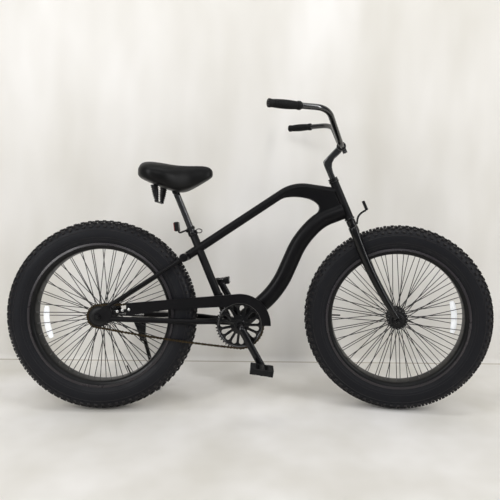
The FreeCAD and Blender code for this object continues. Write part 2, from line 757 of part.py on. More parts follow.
def head_plug(name):
    reach = 60
    high = size.head_tube_low + size.head_tube_length
    return head_cylinder(name, "Sizes.head_tube_radius", size.head_tube_low - reach, high + reach)


def shell_plug(name):
    start = crank_axle - Vector(0, size.shell_half_length + 20, 0)
    end = crank_axle + Vector(0, size.shell_half_length + 20, 0)
    return rod(name, start, end, "Sizes.shell_radius")


def make_top_tube():
    tube = pipe("top_tube_bar", top_tube_points(), "Sizes.top_tube_radius", 16)
    yoke = rod(
        "top_tube_yoke_plug",
        Vector(size.yoke_x, -size.yoke_half_length, size.yoke_z),
        Vector(size.yoke_x, size.yoke_half_length, size.yoke_z),
        "Sizes.yoke_radius",
    )
    seat = seat_tube_cylinder("top_tube_seat_plug", "Sizes.seat_tube_radius")
    keep(cut("top_tube_cut", tube, head_plug("top_tube_head_plug"), seat, yoke), "top_tube")


def make_down_tube():
    tube = pipe(
        "down_tube_bar",
        down_tube_points(),
        "Sizes.down_tube_half_height",
        16,
        "Sizes.down_tube_half_width",
    )
    piece = cut("down_tube_cut", tube, head_plug("down_tube_head_plug"), shell_plug("down_tube_shell_plug"))
    keep(piece, "down_tube")


def make_head_web():
    # The pressed gusset that fills the corner behind the head tube, down to its round window.
    top = on_steerer(0, size.top_tube_joint)
    foot = on_steerer(0, size.down_tube_joint)
    window = Vector((size.wheelbase - size.web_window_back), 0, size.web_window_z)
    outline = [
        (window.x, window.z - size.web_window_radius),
        (window.x, size.top_tube_bend_z),
        (top.x, top.z),
        (foot.x, foot.z),
        ((size.wheelbase - size.down_high_bend_back), size.down_high_bend_z),
    ]
    sheet_metal = plate("head_web_sheet", outline, "Sizes.web_half_width * 2")
    reach = Vector(0, size.web_half_width + 1, 0)
    hole = rod("head_web_window", window - reach, window + reach, "Sizes.web_window_radius")
    tubes = [
        pipe("head_web_top_plug", top_tube_points(), "Sizes.top_tube_radius", 16),
        pipe(
            "head_web_down_plug",
            down_tube_points(),
            "Sizes.down_tube_half_height",
            16,
            "Sizes.down_tube_half_width",
        ),
    ]
    keep(cut("head_web_cut", sheet_metal, hole, head_plug("head_web_head_plug"), *tubes), "head_web")


def make_seat_tube():
    foot = on_seat_tube(size.seat_tube_low)
    tube = cut(
        "seat_tube_bored",
        seat_tube_cylinder("seat_tube_outside", "Sizes.seat_tube_radius", size.seat_tube_low - 10),
        box("seat_tube_foot", foot - Vector(0, 0, 20), 60, 60, 40),
        seat_tube_cylinder(
            "seat_tube_inside",
            "Sizes.seat_tube_radius - Sizes.seat_tube_wall",
            size.seat_tube_low - 12,
            size.seat_tube_top + 1,
        ),
    )
    keep(tube, "seat_tube")
    low = size.seat_tube_top - size.collar_height
    ring = cut(
        "seat_collar_bored",
        seat_tube_cylinder("seat_collar_outside", "Sizes.collar_radius", low, size.seat_tube_top - 1),
        seat_tube_cylinder(
            "seat_collar_inside", "Sizes.seat_tube_radius + Sizes.seat_gap", low - 1, size.seat_tube_top + 1
        ),
    )
    middle = on_seat_tube(low + size.collar_height / 2)
    lug = box(
        "seat_collar_lug",
        middle - Vector(size.collar_radius + 4.5, 0, 0),
        "Sizes.collar_radius / 2",
        "Sizes.collar_radius",
        "Sizes.collar_height - 6",
    )
    bolt = rod(
        "seat_collar_bolt",
        middle - Vector(size.collar_radius + 5, size.collar_radius, 0),
        middle - Vector(size.collar_radius + 5, -size.collar_radius, 0),
        "Sizes.rail_radius",
        6,
    )
    keep(fuse("seat_collar_fused", ring, lug, bolt), "seat_collar")


def make_bottom_bracket():
    # The shell and the plate behind it, which carries the seat tube and the chain stays.
    shell = rod(
        "shell_outside",
        crank_axle - Vector(0, size.shell_half_length, 0),
        crank_axle + Vector(0, size.shell_half_length, 0),
        "Sizes.shell_radius",
    )
    rear = on_seat_tube(size.seat_tube_low).x - size.seat_tube_radius - 4
    bridge = doc.addObject("Part::Box", "shell_bridge")
    bridge.Length = crank_axle.x - rear
    bind(bridge, Width="(Sizes.chain_stay_front_offset - 4 - Sizes.chain_stay_radius - Sizes.seat_gap) * 2")
    bridge.Height = 14
    doc.recompute()
    bridge.Placement = Placement(
        Vector(rear, -bridge.Width.Value / 2, size.seat_tube_low - size.seat_gap - 14), Rotation()
    )
    bore = rod(
        "shell_bore",
        crank_axle - Vector(0, size.shell_half_length + 1, 0),
        crank_axle + Vector(0, size.shell_half_length + 1, 0),
        "Sizes.shell_bore",
    )
    keep(cut("bottom_bracket_bored", fuse("bottom_bracket_fused", shell, bridge), bore), "bottom_bracket")


def dropout_blank(name, side):
    outline = [
        (-16, -12),
        (-16, 10),
        (4, 26),
        (size.stay_foot_x - 6, size.stay_foot_z + 6),
        (size.stay_foot_x + 12, size.stay_foot_z - 2),
        (size.chain_stay_foot_x + 12, 4),
        (size.chain_stay_foot_x + 12, -18),
        (2, -16),
    ]
    body = plate(name, outline, "Sizes.dropout_thickness")
    body.Placement = Placement(Vector(0, side * size.dropout_offset, 0), Rotation())
    return body


def make_stays():
    yoke = rod(
        "yoke_bar",
        Vector(size.yoke_x, -size.yoke_half_length, size.yoke_z),
        Vector(size.yoke_x, size.yoke_half_length, size.yoke_z),
        "Sizes.yoke_radius",
    )
    keep(yoke, "stay_yoke", "root", yoke.Placement)
    for side, name in side_names:
        points = [
            Vector(size.chain_stay_foot_x, side * size.dropout_offset, -size.chain_stay_drop),
            Vector(size.chain_stay_neck_x, side * size.chain_stay_offset, size.chain_stay_z),
            Vector(size.chain_stay_front_x, side * size.chain_stay_front_offset, size.chain_stay_z - 3),
            Vector(size.bottom_x, side * (size.chain_stay_front_offset - 4), size.bottom_z + 4),
        ]
        bar = pipe(f"chain_stay_{name}_bar", points, "Sizes.chain_stay_radius")
        tools = [shell_plug(f"chain_stay_{name}_plug"), dropout_blank(f"chain_stay_{name}_slot", side)]
        keep(cut(f"chain_stay_{name}_cut", bar, *tools), f"chain_stay_{name}")
        top = Vector(size.yoke_x, side * (size.yoke_half_length - size.seat_stay_radius - 2), size.yoke_z)
        foot = Vector(size.stay_foot_x, side * size.seat_stay_offset, size.stay_foot_z)
        bar = rod(f"seat_stay_{name}_bar", foot, top, "Sizes.seat_stay_radius")
        plug = rod(
            f"seat_stay_{name}_plug",
            Vector(size.yoke_x, -size.yoke_half_length, size.yoke_z),
            Vector(size.yoke_x, size.yoke_half_length, size.yoke_z),
            "Sizes.yoke_radius",
        )
        slot = dropout_blank(f"seat_stay_{name}_slot", side)
        keep(cut(f"seat_stay_{name}_cut", bar, plug, slot), f"seat_stay_{name}")


def make_dropouts():
    for side, name in side_names:
        reach = Vector(0, size.axle_end, 0)
        blank = dropout_blank(f"dropout_{name}_plate", side)
        hole = rod(f"dropout_{name}_hole", rear_axle - reach, rear_axle + reach, "Sizes.axle_radius + Sizes.seat_gap")
        keep(cut(f"dropout_{name}_cut", blank, hole), f"dropout_{name}")


# Fork and steering

def make_fork():
    top = size.head_tube_low + size.head_tube_length + size.cup_height + size.locknut_height
    crown_top = size.crown_low + size.crown_height
    race_top = size.head_tube_low - size.cup_height - size.race_gap
    steerer = head_cylinder("steerer_bar", "Sizes.steerer_radius", crown_top - 4, top - 3)
    race = head_cylinder("crown_race", "Sizes.head_tube_radius + 1", crown_top - 2, race_top)
    tilt = Rotation(steer_forward, Vector(0, 1, 0), steer_up, "ZXY")
    crown = box(
        "crown_block",
        on_steerer(size.fork_leg_forward / 2, size.crown_low + size.crown_height / 2),
        "Sizes.crown_depth",
        "Sizes.fork_leg_offset * 2",
        "Sizes.crown_height",
        tilt,
    )
    keep(fuse("fork_crown_fused", steerer, race, crown), "fork_crown", "steered")
    for side, name in side_names:
        offset = side * size.fork_leg_offset
        points = [
            on_steerer(size.fork_leg_forward, crown_top - 2, offset),
            on_steerer(size.fork_leg_forward, size.fork_bend, offset),
            on_steerer(size.fork_rake, size.fork_tip, side * size.dropout_offset),
        ]
        leg = taper(f"fork_leg_{name}_bar", points, "Sizes.fork_leg_radius", "Sizes.fork_tip_radius")
        eye = rod(
            f"fork_eye_{name}",
            front_axle + Vector(0, side * size.dropout_offset - size.dropout_thickness / 2, 0),
            front_axle + Vector(0, side * size.dropout_offset + size.dropout_thickness / 2, 0),
            "Sizes.fork_tip_radius + 3",
        )
        tab = box(
            f"fork_tab_{name}",
            on_steerer(size.fork_rake, size.fork_tip / 2, side * size.dropout_offset),
            "Sizes.fork_tip_radius * 2 - 1",
            "Sizes.dropout_thickness",
            "Sizes.fork_tip + 4",
            tilt,
        )
        reach = Vector(0, size.axle_end, 0)
        hole = rod(f"fork_hole_{name}", front_axle - reach, front_axle + reach, "Sizes.axle_radius + Sizes.seat_gap")
        blank = fuse(f"fork_leg_{name}_fused", leg, eye, tab)
        crown_plug = box(
            f"fork_leg_{name}_plug",
            on_steerer(size.fork_leg_forward / 2, size.crown_low + size.crown_height / 2),
            "Sizes.crown_depth",
            "Sizes.fork_leg_offset * 2",
            "Sizes.crown_height",
            tilt,
        )
        keep(cut(f"fork_leg_{name}_cut", blank, hole, crown_plug), f"fork_leg_{name}", "steered")
    low = size.head_tube_low + size.head_tube_length + size.cup_height + size.race_gap
    nut = cut(
        "locknut_bored",
        head_cylinder("locknut_outside", "Sizes.locknut_radius", low, low + size.locknut_height),
        head_cylinder("locknut_inside", "Sizes.steerer_radius + Sizes.seat_gap", low - 1, low + 20),
    )
    keep(nut, "headset_locknut", "steered")


def bar_points():
    clamp = on_steerer(size.bar_reach, size.bar_rise)
    half = [
        Vector(clamp.x, size.bar_centre, clamp.z),
        Vector((size.wheelbase - size.bar_top_back), size.bar_top_offset, size.bar_top_z),
        Vector((size.wheelbase - size.bar_end_back), size.bar_end_offset, size.bar_top_z),
    ]
    return [Vector(spot.x, -spot.y, spot.z) for spot in reversed(half)] + half


def make_stem():
    low = size.head_tube_low + size.head_tube_length + size.cup_height + size.locknut_height - 3
    low += size.seat_gap
    quill = head_cylinder("quill_bar", "Sizes.quill_radius", low, size.stem_knee - 12)
    corner = [
        on_steerer(-size.quill_radius, size.stem_knee - 30),
        on_steerer(-size.quill_radius, size.stem_knee + 4),
        on_steerer(size.bar_reach - 16, size.bar_rise + 16),
        on_steerer(size.bar_reach, size.bar_rise - 16),
        on_steerer(size.bar_reach - 30, size.bar_rise - 33),
        on_steerer(size.quill_radius + 8, size.stem_knee - 34),
        on_steerer(size.quill_radius, size.stem_knee - 60),
        on_steerer(-size.quill_radius, size.stem_knee - 60),
    ]
    arm = plate("stem_arm", [(spot.x, spot.z) for spot in corner], "Sizes.stem_width")
    clamp = on_steerer(size.bar_reach, size.bar_rise)
    reach = Vector(0, size.clamp_width / 2, 0)
    ring = rod("stem_clamp", clamp - reach, clamp + reach, "Sizes.clamp_radius")
    hole = cylinder("stem_hole", clamp - reach * 2, clamp + reach * 2, "Sizes.bar_radius + Sizes.grip_clearance")
    ear = box(
        "stem_ear",
        on_steerer(size.bar_reach + 8, size.bar_rise - size.clamp_radius - 4),
        "Sizes.clamp_radius",
        "Sizes.stem_width",
        "Sizes.clamp_radius",
        Rotation(steer_forward, Vector(0, 1, 0), steer_up, "ZXY"),
    )
    keep(cut("stem_cut", fuse("stem_fused", quill, arm, ring, ear), hole), "stem", "steered")


def make_bar():
    low_bend = size.bar_centre - size.clamp_width / 2 - 2
    high_bend = 78
    bends = [high_bend, low_bend, low_bend, high_bend]
    keep(pipe("handlebar_bar", bar_points(), "Sizes.bar_radius", tight=bends), "handlebar", "steered")
    for side, name in side_names:
        end = Vector((size.wheelbase - size.bar_end_back), side * size.bar_end_offset, size.bar_top_z)
        bend = Vector((size.wheelbase - size.bar_top_back), side * size.bar_top_offset, size.bar_top_z)
        along = (bend - end).normalize()
        outside = rod(f"grip_{name}_outside", end - along * 3, end + along * size.grip_length, "Sizes.grip_radius")
        inside = rod(
            f"grip_{name}_inside",
            end - along * size.grip_clearance,
            end + along * (size.grip_length + 1),
            "Sizes.bar_radius + Sizes.grip_clearance",
        )
        keep(cut(f"grip_{name}_bored", outside, inside), f"grip_{name}", "steered")


def make_front_reflector():
    tilt = Rotation(steer_forward, Vector(0, 1, 0), steer_up, "ZXY")
    lamp = box(
        "front_lamp_block",
        on_steerer(size.front_lamp_reach, size.front_lamp_rise),
        "Sizes.front_lamp_depth",
        "Sizes.front_lamp_width",
        "Sizes.front_lamp_height",
        tilt,
    )
    keep(lamp, "front_reflector", "steered", lamp.Placement)
    crown_face = size.fork_leg_forward / 2 + size.crown_depth / 2
    lamp_back = size.front_lamp_reach - size.front_lamp_depth / 2
    crown_middle = size.crown_low + size.crown_height / 2
    lamp_foot = size.front_lamp_rise - size.front_lamp_height / 2 + 10
    points = [
        on_steerer(crown_face + size.seat_gap, crown_middle),
        on_steerer(crown_face + 14, crown_middle),
        on_steerer(crown_face + 24, lamp_foot),
        on_steerer(lamp_back - size.seat_gap, lamp_foot),
    ]
    keep(pipe("front_lamp_arm", points, "Sizes.bracket_radius", 6), "front_reflector_bracket", "steered")


# Saddle

def make_saddle():
    middle = (size.saddle_nose_x + size.saddle_rear_x) / 2
    dip = size.saddle_top - size.saddle_dip
    side_view = [
        (size.saddle_rear_x, size.saddle_top - 44),
        (size.saddle_rear_x + 12, size.saddle_top - 14),
        (size.saddle_rear_x + 44, size.saddle_top),
        (middle + 5, dip),
        (size.saddle_nose_x - 40, dip + 3),
        (size.saddle_nose_x - 6, dip - 10),
        (size.saddle_nose_x, dip - 30),
        (size.saddle_nose_x - 34, size.saddle_low + 18),
        (middle + 30, size.saddle_low - 4),
        (size.saddle_rear_x + 70, size.saddle_low),
        (size.saddle_rear_x + 20, size.saddle_top - 60),
    ]
    body = doc.addObject("PartDesign::Body", "saddle_plan")
    half_plan = [
        (size.saddle_rear_x - 1, 50),
        (size.saddle_rear_x + 20, size.saddle_half_width - 24),
        (size.saddle_rear_x + 62, "Sizes.saddle_half_width"),
        (size.saddle_rear_x + 105, size.saddle_half_width - 16),
        (middle + 22, size.saddle_nose_half_width + 26),
        (middle + 70, size.saddle_nose_half_width + 6),
        (size.saddle_nose_x - 16, "Sizes.saddle_nose_half_width"),
        (size.saddle_nose_x + 1, 12),
    ]
    plan = half_plan + [(x, f"-({y})") for x, y in reversed(half_plan)]
    sketch = outline_sketch(body, "saddle_plan_outline", plan, "XY_Plane")
    pad = body.newObject("PartDesign::Pad", "saddle_plan_pad")
    pad.Profile = sketch
    pad.Length = size.saddle_top + 50
    side = plate("saddle_side", side_view, "Sizes.saddle_half_width * 2 + 4")
    piece = doc.addObject("Part::Common", "saddle_common")
    piece.Base = side
    piece.Tool = body
    keep(piece, "saddle")


def make_saddle_frame():
    # Springs, the two rails and the clamp on the post.
    shell_floor = size.saddle_low - 1 - size.seat_gap
    for side, name in side_names:
        foot = Vector(size.spring_x, side * size.spring_offset, (size.saddle_low - size.spring_height))
        top = Vector(size.spring_x, side * size.spring_offset, shell_floor)
        barrel = rod(f"spring_{name}_barrel", foot, top, "Sizes.spring_radius")
        keep(barrel, f"saddle_spring_{name}", "root", barrel.Placement)
    pieces = []
    clamp_middle = on_seat_tube((size.saddle_low - size.seat_post_drop) - 14)
    for side, name in side_names:
        points = [
            Vector(size.spring_x, side * size.spring_offset, (size.saddle_low - size.spring_height) - size.rail_radius - 1),
            Vector(clamp_middle.x - 20, side * 24, (size.saddle_low - size.spring_height) - 2),
            Vector(clamp_middle.x + 34, side * 22, (size.saddle_low - size.seat_post_drop) - 8),
            Vector(size.saddle_nose_x - 48, side * 10, size.saddle_low + 8),
        ]
        pieces.append(pipe(f"rail_{name}_bar", points, "Sizes.rail_radius", 6))
    reach = Vector(0, 34, 0)
    pieces.append(rod("saddle_clamp_bolt", clamp_middle - reach, clamp_middle + reach, "Sizes.rail_radius + 2", 6))
    pieces.append(rod("saddle_clamp_left", clamp_middle + Vector(0, 15, 0), clamp_middle + Vector(0, 28, 0), "Sizes.spring_radius"))
    pieces.append(rod("saddle_clamp_right", clamp_middle - Vector(0, 15, 0), clamp_middle - Vector(0, 28, 0), "Sizes.spring_radius"))
    low = on_seat_tube(size.seat_tube_top)
    high = on_seat_tube((size.saddle_low - size.seat_post_drop) + 1)
    post = cylinder("saddle_clamp_post_plug", low, high, "Sizes.seat_post_radius + Sizes.seat_gap")
    keep(cut("saddle_frame_cut", fuse("saddle_frame_fused", *pieces), post), "saddle_frame")


def make_seat_post():
    low = size.seat_tube_top - size.seat_post_insert
    post = cylinder("seat_post_bar", on_seat_tube(low), on_seat_tube((size.saddle_low - size.seat_post_drop)), "Sizes.seat_post_radius")
    keep(post, "seat_post", "root", post.Placement)


def make_rear_reflector():
    # The lamp stands parallel to the post, on an arm from a clip just above the seat collar.
    tilt = Rotation(Vector(0, 1, 0), size.seat_angle - 90)
    middle = Vector(size.rear_lamp_x, 0, size.rear_lamp_z)
    lamp = box("rear_lamp_block", middle, "Sizes.rear_lamp_depth", "Sizes.rear_lamp_width", "Sizes.rear_lamp_height", tilt)
    keep(lamp, "rear_reflector", "root", lamp.Placement)
    spot = on_seat_tube(size.seat_tube_top + 10)
    bore = "Sizes.seat_post_radius + Sizes.seat_gap"
    ring = cut(
        "rear_lamp_ring_bored",
        seat_tube_cylinder("rear_lamp_ring", "Sizes.seat_post_radius + 4", spot.z - 5, spot.z + 5),
        cylinder("rear_lamp_ring_bore", on_seat_tube(spot.z - 9), on_seat_tube(spot.z + 9), bore),
    )
    forward = tilt.multVec(Vector(1, 0, 0))
    under = middle - seat_up * (size.rear_lamp_height / 2 + size.seat_gap)
    level = (spot - under).dot(seat_up)
    points = [
        spot - forward * (size.seat_post_radius + 2.5),
        under + seat_up * level,
        under,
    ]
    reach = abs(level) * 0.8
    arm = pipe("rear_lamp_arm", points, "Sizes.bracket_radius", 6, tight=[reach])
    keep(fuse("rear_lamp_bracket", ring, arm), "rear_reflector_bracket")


# Drive

def pitch_radius(teeth):
    return size.chain_pitch / (2 * math.sin(math.pi / teeth))


def toothed(name, teeth, bore, petals):
    # A toothed plate: a disc at the root circle, one tooth patterned round it, and its openings.
    radius = pitch_radius(teeth)
    root = radius - 3.5
    tip = radius + size.tooth_height
    body = doc.addObject("PartDesign::Body", name)
    turns = [2 * math.pi * (number + 0.5) / teeth for number in range(round(teeth))]
    edge = [(root * math.sin(turn), root * math.cos(turn)) for turn in turns]
    disc = outline_sketch(body, name + "_disc", edge, "XZ_Plane")
    index = disc.addGeometry(Part.Circle(Vector(0, 0, 0), Vector(0, 0, 1), bore))
    disc.addConstraint(Sketcher.Constraint("Coincident", index, 3, -1, 1))
    disc.addConstraint(Sketcher.Constraint("Radius", index, bore))
    pad = body.newObject("PartDesign::Pad", name + "_pad")
    pad.Profile = disc
    pad.Midplane = True
    bind(pad, Length="Sizes.tooth_thickness")
    half = root * math.sin(math.pi / teeth)
    foot = root * math.cos(math.pi / teeth)
    tooth_outline = [(-half, foot), (half, foot), (1.0, tip), (-1.0, tip)]
    sketch = outline_sketch(body, name + "_tooth", tooth_outline, "XZ_Plane")
    tooth = body.newObject("PartDesign::Pad", name + "_tooth_pad")
    tooth.Profile = sketch
    tooth.Midplane = True
    bind(tooth, Length="Sizes.tooth_thickness")
    doc.recompute()
    ring = body.newObject("PartDesign::PolarPattern", name + "_teeth")
    ring.Originals = [tooth]
    ring.Axis = (plane_axis(body, "Y_Axis"), [""])
    ring.Angle = 360
    ring.Occurrences = round(teeth)
    body.Tip = ring
    if petals:
        inner = size.petal_inner
        outer = size.petal_outer
        wide = size.petal_half_width
        outline = [
            (-2.5, inner + 1), (2.5, inner + 1), (wide, outer - wide - 2), (wide - 2.5, outer - 2),
            (0, outer), (2.5 - wide, outer - 2), (-wide, outer - wide - 2),
        ]
        sketch = outline_sketch(body, name + "_petal", outline, "XZ_Plane")
        pocket = body.newObject("PartDesign::Pocket", name + "_petal_pocket")
        pocket.Profile = sketch
        pocket.Midplane = True
        pocket.Length = size.tooth_thickness * 3
        doc.recompute()
        windows = body.newObject("PartDesign::PolarPattern", name + "_petals")
        windows.Originals = [pocket]
        windows.Axis = (plane_axis(body, "Y_Axis"), [""])
        windows.Angle = 360
        windows.Occurrences = round(petals)
        body.Tip = windows
    return body


def plane_axis(body, role):
    return [axis for axis in body.Origin.OriginFeatures if axis.Role == role][0]


def make_sprockets():
    ring = toothed("chainring_body", size.ring_teeth, size.crank_radius + size.seat_gap, size.petal_count)
    keep(ring, "chainring", "root", spun(size.crank_angle, crank_axle + Vector(0, chain_y, 0)))
    bore = size.hub_end_radius + 8 + size.seat_gap
    cog = toothed("rear_sprocket_body", size.cog_teeth, bore, 0)
    keep(cog, "rear_sprocket", "root", Placement(rear_axle + Vector(0, chain_y, 0), Rotation()))


def arc_corners(centre, radius, start, end, step=math.radians(13)):
    # The corners of a faceted arc in side view.
    count = math.ceil(abs(end - start) / step)
    angles = [start + (end - start) * number / count for number in range(count + 1)]
    return [centre + Vector(radius * math.cos(angle), 0, radius * math.sin(angle)) for angle in angles]


def loop_face(offset):
    # The chain's outline at an offset from its pitch line: two arcs and two straight runs.
    big = pitch_radius(size.ring_teeth) + offset
    small = pitch_radius(size.cog_teeth) + offset
    along = crank_axle - rear_axle
    reach = along.Length
    heading = math.atan2(along.z, along.x)
    spread = math.acos((big - small) / reach)

    def at(centre, radius, angle):
        return centre + Vector(radius * math.cos(angle), 0, radius * math.sin(angle))

    top = heading + spread
    foot = heading - spread
    corners = arc_corners(crank_axle, big, top, foot) + arc_corners(rear_axle, small, foot, top - 2 * math.pi)
    return Part.Face(Part.makePolygon(corners + corners[:1])), (at, top, foot)


def make_chain():
    # Two side plates run the whole loop, with rollers between them along the straight runs.
    outer, (at, top, foot) = loop_face(size.plate_half_height)
    inner, _ = loop_face(-size.plate_half_height)
    band = outer.cut(inner)
    plates = []
    for side in (-1, 1):
        start = chain_y + side * (size.plate_gap / 2 + size.plate_thickness / 2) - size.plate_thickness / 2
        strip = band.extrude(Vector(0, size.plate_thickness, 0))
        strip.translate(Vector(0, start, 0))
        plates.append(strip)
    rollers = []
    big = pitch_radius(size.ring_teeth)
    small = pitch_radius(size.cog_teeth)
    for angle in (top, foot):
        start = at(rear_axle, small, angle)
        end = at(crank_axle, big, angle)
        run = (end - start).Length
        margin = size.chain_pitch * 4.6
        spacing = 3 * size.chain_pitch
        count = int((run - 2 * margin) / spacing) + 1
        along = (end - start).normalize()
        first = (run - (count - 1) * spacing) / 2
        half = (size.plate_gap + size.plate_thickness) / 2
        for number in range(count):
            spot = start + along * (first + number * spacing) + Vector(0, chain_y - half, 0)
            roller = Part.Face(Part.makePolygon([
                spot + Vector(size.roller_radius * math.cos(math.pi / 3 * corner), 0,
                              size.roller_radius * math.sin(math.pi / 3 * corner))
                for corner in (0, 1, 2, 3, 4, 5, 0)
            ])).extrude(Vector(0, 2 * half, 0))
            rollers.append(roller)
    piece = doc.addObject("Part::Feature", "chain_loop")
    piece.Shape = plates[0].fuse(plates[1:] + rollers)
    keep(piece, "chain")


def make_crank():
    angle = math.radians(size.crank_angle)
    out = Vector(math.cos(angle), 0, math.sin(angle)) * size.crank_length

    def arm(side):
        sign = -side
        return [
            crank_axle + Vector(0, side * size.crank_shoulder, 0),
            crank_axle + out * sign + Vector(0, side * size.crank_tip, 0),
        ]

    left = arm(1)
    right = arm(-1)
    bend = size.crank_shoulder - size.chain_line - 8
    bar = pipe("crank_bar", [left[1], left[0], right[0], right[1]], "Sizes.crank_radius", tight=[bend, bend])
    pieces = [bar]
    for tip, side, name in ((left[1], 1, "left"), (right[1], -1, "right")):
        reach = Vector(0, size.crank_boss_height / 2, 0)
        pieces.append(rod(f"pedal_eye_{name}", tip - reach, tip + reach, "Sizes.crank_boss_radius"))
        end = tip + Vector(0, side * (size.crank_boss_height / 2 + size.pedal_gap + size.pedal_width - 12), 0)
        pieces.append(rod(f"pedal_axle_{name}", tip, end, "Sizes.pedal_axle_radius", 8))
    keep(fuse("crank_fused", *pieces), "crank")
    for tip, side, name in ((left[1], 1, "left"), (right[1], -1, "right")):
        middle = tip + Vector(0, side * (size.crank_boss_height / 2 + size.pedal_gap + size.pedal_width / 2), 0)
        make_pedal(name, middle, side)


def make_pedal(name, middle, side):
    width = "Sizes.pedal_width"
    reach = Vector(0, size.pedal_width / 2, 0)
    zero = Vector(0, 0, 0)
    bars = [
        box(
            f"pedal_{name}_bar{number}",
            Vector(way * (size.pedal_length - size.pedal_bar) / 2, 0, 0),
            "Sizes.pedal_bar",
            width,
            "Sizes.pedal_height",
        )
        for number, way in enumerate((-1, 1))
    ]
    ends = [
        box(
            f"pedal_{name}_end{number}",
            Vector(0, way * (size.pedal_width / 2 - 4), 0),
            "Sizes.pedal_length - Sizes.pedal_bar",
            8,
            "Sizes.pedal_height - 6",
        )
        for number, way in enumerate((-1, 1))
    ]
    core = rod(f"pedal_{name}_core", zero - reach, reach, "Sizes.pedal_core_radius")
    bore = rod(
        f"pedal_{name}_bore",
        (zero - reach) * 1.1 if side > 0 else (zero - reach) * 0.9,
        reach * 0.9 if side > 0 else reach * 1.1,
        "Sizes.pedal_axle_radius + Sizes.pedal_bore_clearance",
    )
    piece = cut(f"pedal_{name}_bored", fuse(f"pedal_{name}_fused", core, *bars, *ends), bore)
    keep(piece, f"pedal_{name}", "root", spun(-size.pedal_tilt, middle))


def make_guard():
    # A pressed plate with a round nose over the chainring and a turned-in edge along its top.
    face_y = -size.guard_line
    half = size.guard_thickness / 2
    centre = Vector(size.bottom_x, 0, size.bottom_z)
    rear = Vector(size.guard_rear_x, 0, size.guard_rear_top)
    reach = (rear - centre).Length
    lift = math.atan2(rear.z - centre.z, rear.x - centre.x) - math.acos(size.guard_outer_radius / reach)
    tangent = centre + Vector(math.cos(lift), 0, math.sin(lift)) * size.guard_outer_radius
    nose_drop = size.bottom_z - size.guard_nose_z

    def nose(radius):
        return centre + Vector(math.sqrt(radius ** 2 - nose_drop ** 2), 0, -nose_drop)

    def crest(radius, angle):
        return centre + Vector(math.cos(angle), 0, math.sin(angle)) * radius

    foot_rise = size.guard_foot_z - size.bottom_z
    inner_foot = centre + Vector(-math.sqrt(size.guard_inner_radius ** 2 - foot_rise ** 2), 0, foot_rise)
    waist = Vector(size.guard_waist_x, 0, size.guard_waist_z)
    heel = Vector(size.guard_rear_x, 0, size.guard_rear_bottom)

    def skin(outer_radius, inner_radius, inner_start, top_rear, top_tangent, bottom):
        edges = [
            Part.LineSegment(top_rear, top_tangent).toShape(),
            Part.Arc(top_tangent, crest(outer_radius, math.radians(45)), nose(outer_radius)).toShape(),
            Part.LineSegment(nose(outer_radius), nose(inner_radius)).toShape(),
            Part.Arc(nose(inner_radius), crest(inner_radius, math.radians(60)), inner_start).toShape(),
        ]
        last = inner_start
        for spot in bottom + [top_rear]:
            edges.append(Part.LineSegment(last, spot).toShape())
            last = spot
        return Part.Face(Part.Wire(edges))

    face = skin(size.guard_outer_radius, size.guard_inner_radius, inner_foot, rear, tangent, [waist, heel])
    web = face.extrude(Vector(0, size.guard_thickness, 0))
    web.translate(Vector(0, face_y - half, 0))
    drop = (tangent - centre).normalize() * size.guard_thickness
    rim = skin(
        size.guard_outer_radius,
        size.guard_outer_radius - size.guard_thickness,
        tangent - drop,
        rear,
        tangent,
        [rear - drop],
    ).extrude(Vector(0, size.guard_flange, 0))
    rim.translate(Vector(0, face_y - half, 0))
    piece = doc.addObject("Part::Feature", "chain_guard_sheet")
    piece.Shape = web.fuse(rim)
    keep(piece, "chain_guard")
    make_guard_brackets(face_y)


def make_guard_brackets(face_y):
    back = face_y + size.guard_thickness / 2
    start = Vector(size.chain_stay_foot_x + 2, 0, size.strap_rise)
    end = Vector(size.guard_rear_x + 22, 0, (size.guard_rear_top + size.guard_rear_bottom) / 2)
    along = end - start
    strip = box(
        "guard_strap",
        Vector((start.x + end.x) / 2, back + 1 + size.seat_gap, (start.z + end.z) / 2),
        along.Length,
        2,
        14,
        Rotation(Vector(0, 1, 0), -math.degrees(math.atan2(along.z, along.x))),
    )
    keep(strip, "guard_bracket_rear", "root", strip.Placement)
    spot = on_seat_tube(size.clip_height)
    ring = cut(
        "guard_clip_bored",
        seat_tube_cylinder("guard_clip_ring", "Sizes.seat_tube_radius + 3", spot.z - 6, spot.z + 6),
        seat_tube_cylinder("guard_clip_bore", "Sizes.seat_tube_radius + Sizes.seat_gap", spot.z - 9, spot.z + 9),
    )
    tab_start = Vector(spot.x, -size.seat_tube_radius - 1, spot.z)
    tab_end = Vector(spot.x, back + size.seat_gap, spot.z)
    tab = rod("guard_clip_tab", tab_start, tab_end, "Sizes.bracket_radius", 6)
    keep(fuse("guard_clip_fused", ring, tab), "guard_bracket_front")


